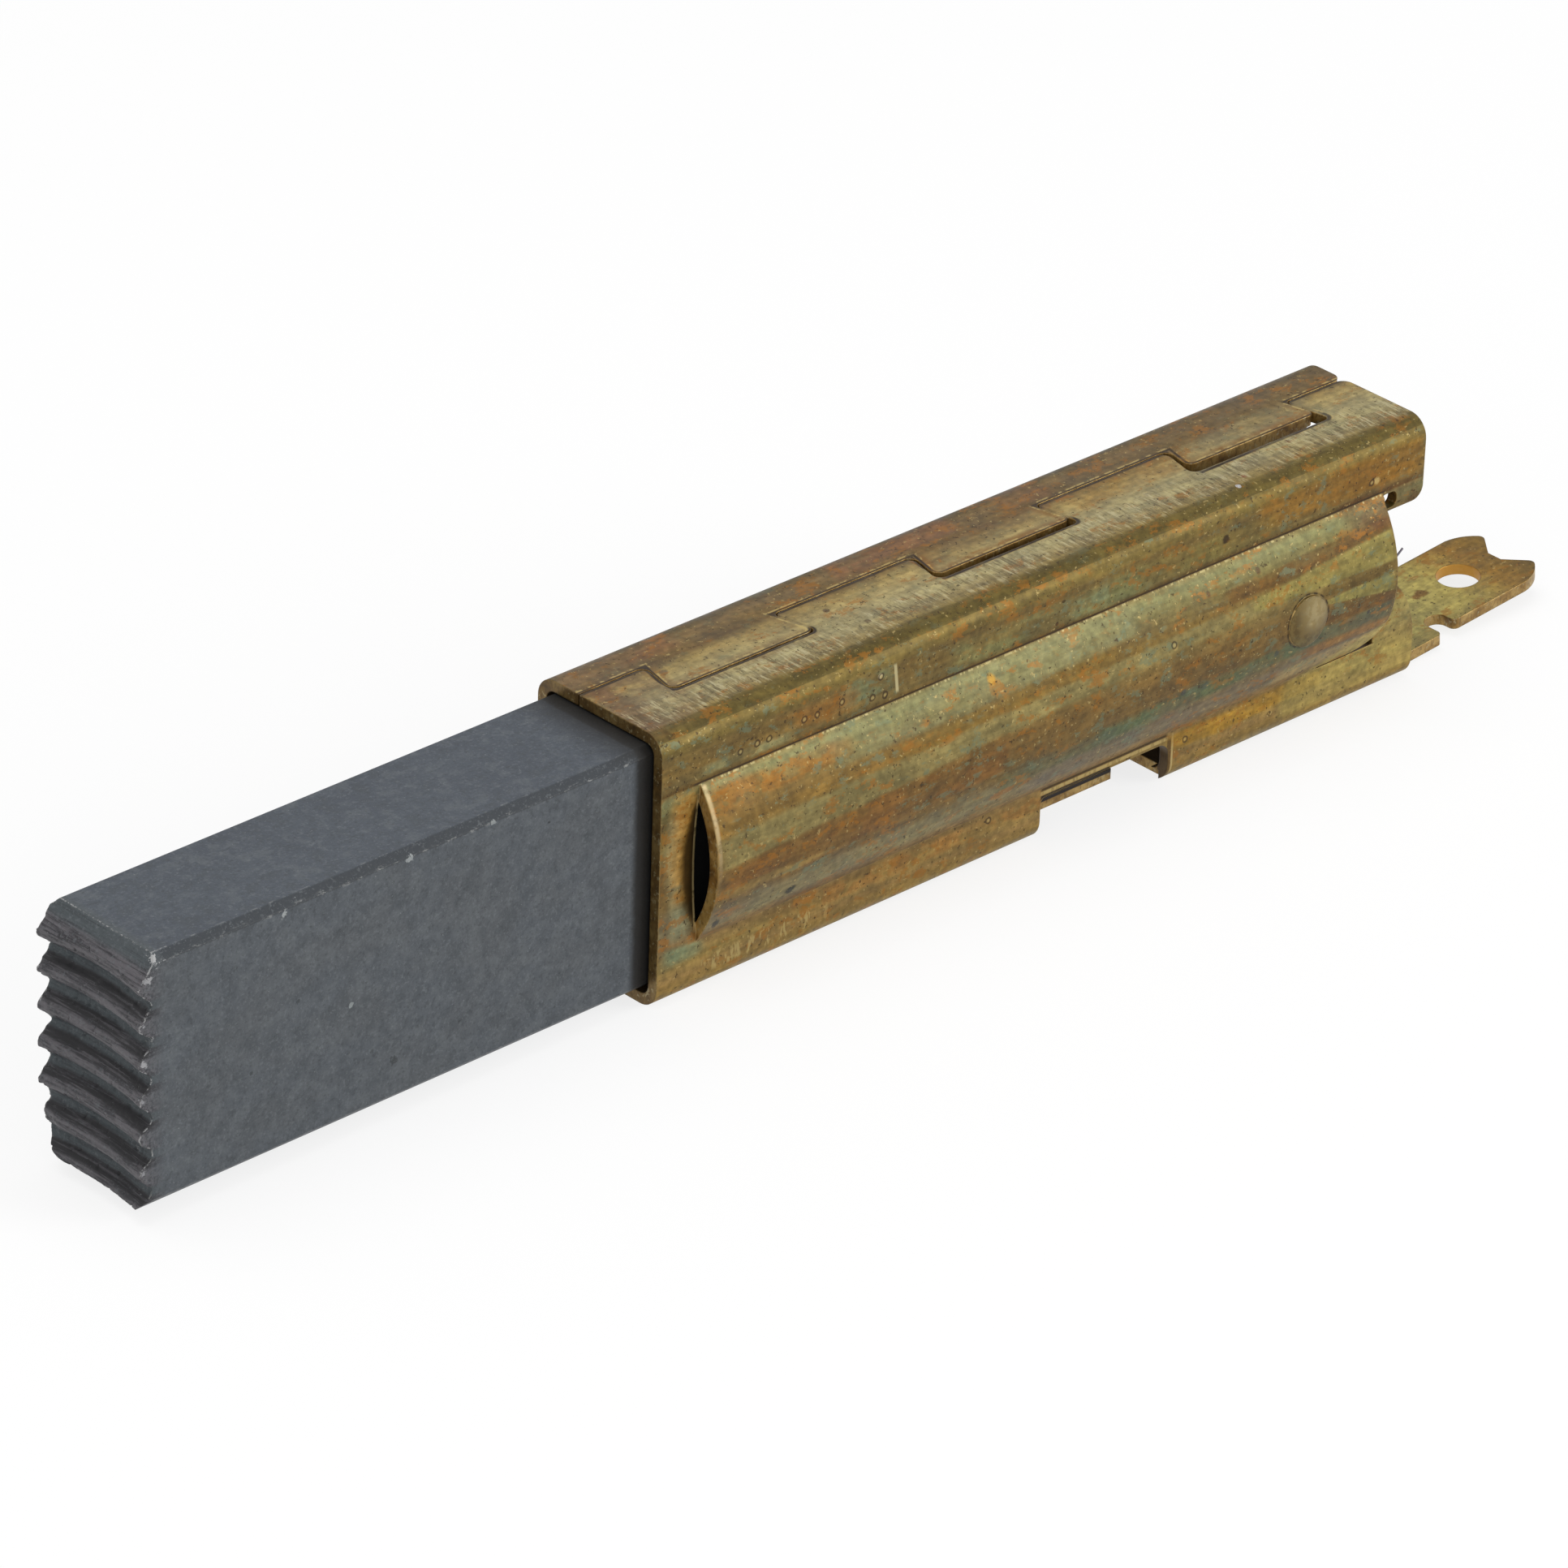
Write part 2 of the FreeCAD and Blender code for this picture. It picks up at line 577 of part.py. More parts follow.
# the worn face is turned about the axis that the commutator had, with one sawtooth per ridge,
# and a flat bevel leads down to its first ridge
wearAxis = f"({blockTip} - sqrt(Sizes.wearRadius ^ 2 - {blockHalf} ^ 2))"
wear = newSketch(carbonBlock, "WearSketch", "XZ_Plane", x=wearAxis)
valley = "Sizes.wearRadius + Sizes.ridgeDepth"
blockTall = amount(f"{blockHigh} - {blockLow}")
ridgeCount = math.ceil((blockTall - amount("Sizes.ridgeTop")) / amount("Sizes.ridgePitch"))
wearTop = f"{blockHigh} + Sizes.ridgePitch"
teeth = [("Sizes.wearRadius", wearTop)]
for index in range(ridgeCount):
    landTop = f"{blockHigh} - Sizes.ridgeTop - {index} * Sizes.ridgePitch"
    landEnd = f"{landTop} - Sizes.ridgeLand"
    if index > 0:
        teeth += [(valley, f"{landTop} + Sizes.ridgeRise"), ("Sizes.wearRadius", landTop)]
    teeth += [("Sizes.wearRadius", landEnd), (valley, f"{landEnd} - Sizes.ridgeReturn")]
wearInside = "Sizes.wearRadius - Sizes.ridgePitch"
lowest = f"{blockHigh} - Sizes.ridgeTop - {ridgeCount} * Sizes.ridgePitch - Sizes.ridgePitch"
teeth += [(valley, lowest), (wearInside, lowest), (wearInside, wearTop)]
drawChain(wear, teeth)
turnedCut(carbonBlock, "Wear", wear, "V_Axis")

bevel = newSketch(carbonBlock, "BevelSketch", "XZ_Plane", x=blockTip)
drawChain(bevel, [
    ("-Sizes.ridgePitch", f"{blockHigh} + Sizes.ridgePitch"),
    ("-Sizes.ridgePitch", f"{blockHigh} - Sizes.ridgeTop"),
    ("Sizes.bevelFoot", f"{blockHigh} - Sizes.ridgeTop"),
    ("Sizes.bevelDepth", blockHigh),
    ("Sizes.bevelDepth", f"{blockHigh} + Sizes.ridgePitch"),
])
pocket(carbonBlock, "Bevel", bevel)

# its far lower corner is broken off round, less and less away from the worn face
breakEnds = []
for name, place, scale in (
    ("BreakFront", f"{blockTip} - Sizes.breakEnd", "1"),
    ("BreakRear", f"{blockTip} + Sizes.breakLength", "Sizes.breakEnd"),
):
    ending = newSketch(carbonBlock, f"{name}Sketch", "YZ_Plane", z=place)
    drawChain(ending, [
        (f"{blockHalf} - Sizes.breakWidth * {scale}", f"{blockLow} - Sizes.breakEnd"),
        (f"{blockHalf} + Sizes.breakEnd", f"{blockLow} - Sizes.breakEnd"),
        (f"{blockHalf} + Sizes.breakEnd", f"{blockLow} + Sizes.breakHeight * {scale}"),
        (blockHalf, f"{blockLow} + Sizes.breakHeight * {scale}", f"Sizes.breakRadius * {scale}", -1),
        (f"{blockHalf} - Sizes.breakWidth * {scale}", blockLow),
    ])
    breakEnds.append(ending)
corner = carbonBlock.newObject("PartDesign::SubtractiveLoft", "CornerBreak")
corner.Profile = breakEnds[0]
corner.Sections = [breakEnds[1]]
corner.Ruled = True
doc.recompute()
checkCut(corner)

plugHole = newSketch(carbonBlock, "PlugHoleSketch", "YZ_Plane", z=blockRear)
drawCircle(plugHole, "0", bulgeMiddle, "Sizes.plugRadius")
pocket(carbonBlock, "PlugHole", plugHole, "Sizes.plugDepth")

# Contact plug: copper powder tamped round the end of the shunt

tampingPlug = newBody("tamping_plug")
plugFace = newSketch(tampingPlug, "PlugSketch", "YZ_Plane", z=blockRear)
drawCircle(plugFace, "0", bulgeMiddle, "Sizes.plugRadius")
pad(tampingPlug, "Plug", plugFace, "Sizes.plugDepth", side=-1)
braidHole = newSketch(tampingPlug, "BraidHoleSketch", "YZ_Plane", z=blockRear)
drawCircle(braidHole, "0", bulgeMiddle, "Sizes.braidRadius")
pocket(tampingPlug, "BraidHole", braidHole, "Sizes.braidBury")

# Shunt: a round braid out of the plug, pressed flat where it passes between two turns of the
# spring and lies against the inside of the near bulge

pigtail = newBody("pigtail")
rope = newSketch(pigtail, "RopeSketch", "YZ_Plane", z=f"{blockRear} - Sizes.braidBury")
drawCircle(rope, "0", bulgeMiddle, "Sizes.braidRadius")
bendStart = fromRear("bendTail")
ropeLength = f"{bendStart} - ({blockRear} - Sizes.braidBury)"
pad(pigtail, "Rope", rope, ropeLength)

strapStart = f"({bendStart} - Sizes.strapLead)"
bendEnd = f"({bendStart} + Sizes.bendLength)"
bendDepth = f"({bulgeCrest} - Sizes.sheetThick - Sizes.strapWallGap - Sizes.strapThick / 2)"
bendArc = f"((Sizes.bendLength ^ 2 + {bendDepth} ^ 2) / (4 * {bendDepth}))"
route = newSketch(pigtail, "RouteSketch", "XY_Plane", z=bulgeMiddle)
drawChain(route, [
    (strapStart, "0"),
    (bendStart, "0", bendArc, -1),
    (f"{bendStart} + Sizes.bendLength / 2", f"-{bendDepth} / 2", bendArc, 1),
    (bendEnd, f"-{bendDepth}"),
    (fromRear("braidTail"), f"-{bendDepth}"),
], closed=False)
strap = newSketch(pigtail, "StrapSketch", "YZ_Plane", z=strapStart)
drawRectangle(
    strap, "-Sizes.strapThick / 2", "Sizes.strapThick / 2",
    f"{bulgeMiddle} - Sizes.strapWidth / 2", f"{bulgeMiddle} + Sizes.strapWidth / 2",
)
flat = pigtail.newObject("PartDesign::AdditivePipe", "Strap")
flat.Profile = strap
flat.Spine = (route, [f"Edge{k + 1}" for k in range(route.GeometryCount)])
doc.recompute()

# Spring: open turns between two closed end turns, from the block's rear face to the margins.
# Its round wire is drawn with six flats, so that the long coil keeps few facets.

spring = newBody("spring")
coilRadius = "(Sizes.springRadius - Sizes.springWire / 2)"
springFront = f"({blockRear} + Sizes.springEndGap + Sizes.springWire / 2)"
springBack = f"({bulgeRear} - Sizes.springEndGap - Sizes.springWire / 2)"
openTurns = "(Sizes.springTurns - 2)"
openHeight = f"({springBack} - {springFront} - 2 * Sizes.springEndPitch)"
stretches = [
    ("FrontTurn", springFront, "Sizes.springEndPitch", "1"),
    ("OpenTurns", f"({springFront} + Sizes.springEndPitch)", openHeight, openTurns),
    ("BackTurn", f"({springBack} - Sizes.springEndPitch)", "Sizes.springEndPitch", "1"),
]
wireCorners = [
    (f"Sizes.springWire / 2 * {math.cos(angle):.4f}",
     f"{coilRadius} + Sizes.springWire / 2 * {math.sin(angle):.4f}")
    for angle in (k * math.pi / 3 for k in range(6))
]
for name, place, height, turns in stretches:
    wire = newSketch(spring, f"{name}Sketch", "XZ_Plane", x=place, y=bulgeMiddle)
    drawChain(wire, wireCorners)
    coil = spring.newObject("PartDesign::AdditiveHelix", name)
    coil.Profile = wire
    coil.ReferenceAxis = (wire, ["H_Axis"])
    coil.Mode = "height-turns-angle"
    coil.setExpression("Height", height)
    coil.setExpression("Turns", turns)
    doc.recompute()

# Every object has to be sound before anything is written

doc.recompute()
for item in doc.Objects:
    if "Invalid" in item.State or "Error" in item.State:
        raise RuntimeError(f"{item.Label} failed: {item.State}")
bodies = [item for item in doc.Objects if item.TypeId == "PartDesign::Body"]
for body in bodies:
    if body.Shape.isNull() or not body.Shape.isValid() or len(body.Shape.Solids) != 1:
        raise RuntimeError(f"{body.Label} is not one sound solid")

os.makedirs("parts", exist_ok=True)
for body in bodies:
    body.Shape.exportStep(f"parts/{body.Label}.step")
    box = body.Shape.BoundBox
    print(f"{body.Label}: {body.Shape.Volume:.2f} mm3, X {box.XMin:.2f} to {box.XMax:.2f}, "
          f"Y {box.YMin:.2f} to {box.YMax:.2f}, Z {box.ZMin:.2f} to {box.ZMax:.2f}")
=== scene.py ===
import math

import bmesh
import bpy
from mathutils import Matrix, Vector, noise


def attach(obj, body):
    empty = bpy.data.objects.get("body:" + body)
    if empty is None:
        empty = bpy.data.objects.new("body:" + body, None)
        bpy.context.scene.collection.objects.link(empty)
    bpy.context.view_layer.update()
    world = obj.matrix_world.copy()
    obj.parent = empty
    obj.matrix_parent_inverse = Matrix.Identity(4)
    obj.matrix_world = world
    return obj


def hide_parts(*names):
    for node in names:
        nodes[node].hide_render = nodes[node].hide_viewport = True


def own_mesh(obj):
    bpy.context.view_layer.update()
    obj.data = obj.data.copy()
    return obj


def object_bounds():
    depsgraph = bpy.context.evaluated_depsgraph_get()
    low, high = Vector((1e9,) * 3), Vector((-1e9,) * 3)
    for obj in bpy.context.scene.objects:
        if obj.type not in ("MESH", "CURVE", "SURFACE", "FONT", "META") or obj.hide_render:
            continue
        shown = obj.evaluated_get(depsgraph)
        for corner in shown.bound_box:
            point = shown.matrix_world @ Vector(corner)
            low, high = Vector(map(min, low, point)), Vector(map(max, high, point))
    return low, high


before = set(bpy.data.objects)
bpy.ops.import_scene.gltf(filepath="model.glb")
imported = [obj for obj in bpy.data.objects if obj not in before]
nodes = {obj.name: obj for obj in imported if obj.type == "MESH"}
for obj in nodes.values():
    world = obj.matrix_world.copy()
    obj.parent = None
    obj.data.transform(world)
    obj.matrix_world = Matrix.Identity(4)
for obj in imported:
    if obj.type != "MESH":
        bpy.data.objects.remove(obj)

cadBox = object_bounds()
mm = 0.001
print("frame loaded:", ", ".join(sorted(nodes)))


# Studio

studio = {
    "floorSize": 3.0,
    "floorGlow": 0.8,  # how white the floor is for the camera where the object's shadow is full
    "floorShade": 0.22,  # how much of the floor's white comes from the lamps
    "worldAmbient": 0.35,
    "lamps": [
        # name, place in metres, power in watts, size in metres
        ("keyLamp", (0.36, -0.46, 0.24), 2.0, 0.34),
        ("fillLamp", (-0.45, -0.25, 0.35), 0.9, 0.50),
        ("topLamp", (-0.10, 0.10, 0.60), 1.3, 0.50),
    ],
}
photoView = {
    "azimuth": -44.083,
    "elevation": 29.004,
    "roll": 1.931,
    "distance": 0.37837,
    "target": (-0.01152, 0.0, 0.005157),
    "lens": 215.51,
    "sensor": 36.0,
}


def put(tree, kind, inputs=None, **settings):
    made = tree.nodes.new(kind)
    for name, value in settings.items():
        setattr(made, name, value)
    for key, value in (inputs or {}).items():
        if isinstance(value, bpy.types.NodeSocket):
            tree.links.new(value, made.inputs[key])
        else:
            made.inputs[key].default_value = value
    return made


def calc(tree, operation, *values):
    return put(tree, "ShaderNodeMath", dict(enumerate(values)), operation=operation).outputs[0]


# a value's way from low to high, turned into a soft step
def step(tree, value, low, high, toLow=0.0, toHigh=1.0, kind="SMOOTHSTEP"):
    return put(tree, "ShaderNodeMapRange", {
        "Value": value, "From Min": low, "From Max": high, "To Min": toLow, "To Max": toHigh,
    }, interpolation_type=kind).outputs[0]


def between(tree, value, low, high, soft):
    rising = step(tree, value, low - soft, low + soft)
    falling = step(tree, value, high - soft, high + soft, 1.0, 0.0)
    return calc(tree, "MULTIPLY", rising, falling)


def product(tree, *values):
    total = values[0]
    for value in values[1:]:
        total = calc(tree, "MULTIPLY", total, value)
    return total


# how far a point of the surface is from a place, both in millimetres
def reachFrom(tree, point, place):
    return put(tree, "ShaderNodeVectorMath", {0: point, 1: place}, operation="DISTANCE").outputs["Value"]


def blend(tree, amount, first, second, way="MIX"):
    return put(tree, "ShaderNodeMix", {0: amount, 6: first, 7: second},
               data_type="RGBA", blend_type=way).outputs[2]


# a colour as picked on a screen
def ink(code):
    parts = [int(code[start:start + 2], 16) / 255 for start in (1, 3, 5)]
    return (*(part / 12.92 if part < 0.04 else ((part + 0.055) / 1.055) ** 2.4 for part in parts), 1.0)


# a colour laid over another where all of the masks are full
def paint(tree, under, code, *masks):
    return blend(tree, product(tree, *masks), under, ink(code))


def ramp(tree, value, low, high, stops):
    made = put(tree, "ShaderNodeValToRGB", {"Fac": step(tree, value, low, high, kind="LINEAR")})
    row = made.color_ramp.elements
    row.remove(row[-1])
    for number, (place, code) in enumerate(stops):
        share = (place - low) / (high - low)
        stop = row[0] if number == 0 else row.new(share)
        stop.position = share
        stop.color = ink(code)
    return made.outputs["Color"]


# object coordinates, as they are and as x, y, z in millimetres
def placeOn(tree):
    here = put(tree, "ShaderNodeTexCoord").outputs["Object"]
    scaled = put(tree, "ShaderNodeMapping", {"Vector": here, "Scale": (1000, 1000, 1000)}).outputs[0]
    return here, scaled, *put(tree, "ShaderNodeSeparateXYZ", {0: scaled}).outputs


# noise with a grain in millimetres, stretched where a stretch is below 1
def grain(tree, here, size, stretch=(1, 1, 1), detail=4.0, roughness=0.55, shift=0.0):
    placed = put(tree, "ShaderNodeMapping", {
        "Vector": here, "Location": (shift, shift, shift),
        "Scale": tuple(1000 * share / size for share in stretch),
    }).outputs[0]
    return put(tree, "ShaderNodeTexNoise", {
        "Vector": placed, "Scale": 1.0, "Detail": detail, "Roughness": roughness,
    }).outputs["Fac"]


def wobbled(tree, value, *noises):
    for source, amount in noises:
        value = calc(tree, "MULTIPLY_ADD", calc(tree, "SUBTRACT", source, 0.5), amount, value)
    return value


def newFinish(name):
    material = bpy.data.materials.new(name)
    material.use_nodes = True
    return material, material.node_tree, material.node_tree.nodes["Principled BSDF"]


def addObject(name, data):
    made = bpy.data.objects.new(name, data)
    bpy.context.collection.objects.link(made)
    return made


# the shape as a finished object
def pieceOf(shape, name):
    mesh = bpy.data.meshes.new(name)
    shape.to_mesh(mesh)
    shape.free()
    return addObject(name, mesh)


def dress(piece, *materials):
    piece.data.materials.clear()
    for material in materials:
        piece.data.materials.append(material)


def bump(tree, height, strength, distance, normal=None):
    inputs = {"Height": height, "Strength": strength, "Distance": distance * mm}
    if normal:
        inputs["Normal"] = normal
    return put(tree, "ShaderNodeBump", inputs).outputs[0]


# rounded edges, and a mask of where they are
def edgesOf(tree, radius):
    rounded = put(tree, "ShaderNodeBevel", {"Radius": radius * mm}, samples=6).outputs[0]
    surface = put(tree, "ShaderNodeNewGeometry").outputs["Normal"]
    same = put(tree, "ShaderNodeVectorMath", {0: rounded, 1: surface}, operation="DOT_PRODUCT")
    return rounded, step(tree, same.outputs["Value"], 0.995, 0.93)


# a floor and world that the camera and mirrors see as white, while the object's shadow stays
def seenDirectly(tree):
    rays = put(tree, "ShaderNodeLightPath").outputs
    seen = calc(tree, "MAXIMUM", rays["Is Camera Ray"], rays["Is Glossy Ray"])
    return calc(tree, "MAXIMUM", seen, rays["Is Transmission Ray"])


def buildStudio():
    bpy.ops.mesh.primitive_plane_add(size=studio["floorSize"], location=(0, 0, cadBox[0][2]))
    floor = bpy.context.object
    floor.name = "floor"
    material = bpy.data.materials.new("floorWhite")
    material.use_nodes = True
    tree = material.node_tree
    tree.nodes.clear()
    plain = put(tree, "ShaderNodeBsdfDiffuse", {"Color": (0.8, 0.8, 0.8, 1)})
    shade = studio["floorShade"]
    lit = put(tree, "ShaderNodeBsdfDiffuse", {"Color": (shade, shade, shade, 1)})
    glow = put(tree, "ShaderNodeEmission", {"Strength": studio["floorGlow"]})
    both = put(tree, "ShaderNodeAddShader", {0: lit.outputs[0], 1: glow.outputs[0]})
    mix = put(tree, "ShaderNodeMixShader", {
        0: seenDirectly(tree), 1: plain.outputs[0], 2: both.outputs[0]})
    put(tree, "ShaderNodeOutputMaterial", {"Surface": mix.outputs[0]})
    floor.data.materials.append(material)

    world = bpy.data.worlds.new("studioWorld")
    bpy.context.scene.world = world
    world.use_nodes = True
    tree = world.node_tree
    tree.nodes.clear()
    ambient = studio["worldAmbient"]
    strength = put(tree, "ShaderNodeMapRange", {
        "Value": seenDirectly(tree), "To Min": ambient, "To Max": 1.0})
    background = put(tree, "ShaderNodeBackground", {
        "Color": (1, 1, 1, 1), "Strength": strength.outputs[0]})
    put(tree, "ShaderNodeOutputWorld", {"Surface": background.outputs[0]})

    for name, place, power, size in studio["lamps"]:
        light = bpy.data.lights.new(name, "AREA")
        light.energy = power
        light.size = size
        lamp = addObject(name, light)
        lamp.location = place
        lamp.rotation_euler = (Vector((0, 0, 0)) - Vector(place)).to_track_quat("-Z", "Y").to_euler()


def buildCamera():
    azimuth = math.radians(photoView["azimuth"])
    elevation = math.radians(photoView["elevation"])
    roll = math.radians(photoView["roll"])
    back = Vector((math.sin(azimuth) * math.cos(elevation), -math.cos(azimuth) * math.cos(elevation),
                   math.sin(elevation)))
    right = Vector((math.cos(azimuth), math.sin(azimuth), 0))
    up = back.cross(right)
    rolledRight = math.cos(roll) * right + math.sin(roll) * up
    rolledUp = math.cos(roll) * up - math.sin(roll) * right
    turn = Matrix((rolledRight, rolledUp, back)).transposed()
    data = bpy.data.cameras.new("photoCamera")
    data.sensor_width = photoView["sensor"]
    data.lens = photoView["lens"]
    data.clip_start = 0.01
    data.clip_end = 50
    camera = addObject("photoCamera", data)
    camera.matrix_world = Matrix.Translation(
        Vector(photoView["target"]) + photoView["distance"] * back) @ turn.to_4x4()
    bpy.context.scene.camera = camera


buildStudio()
buildCamera()
bpy.context.scene.view_settings.view_transform = "Standard"
print("studio and camera set")


# Brass sleeve

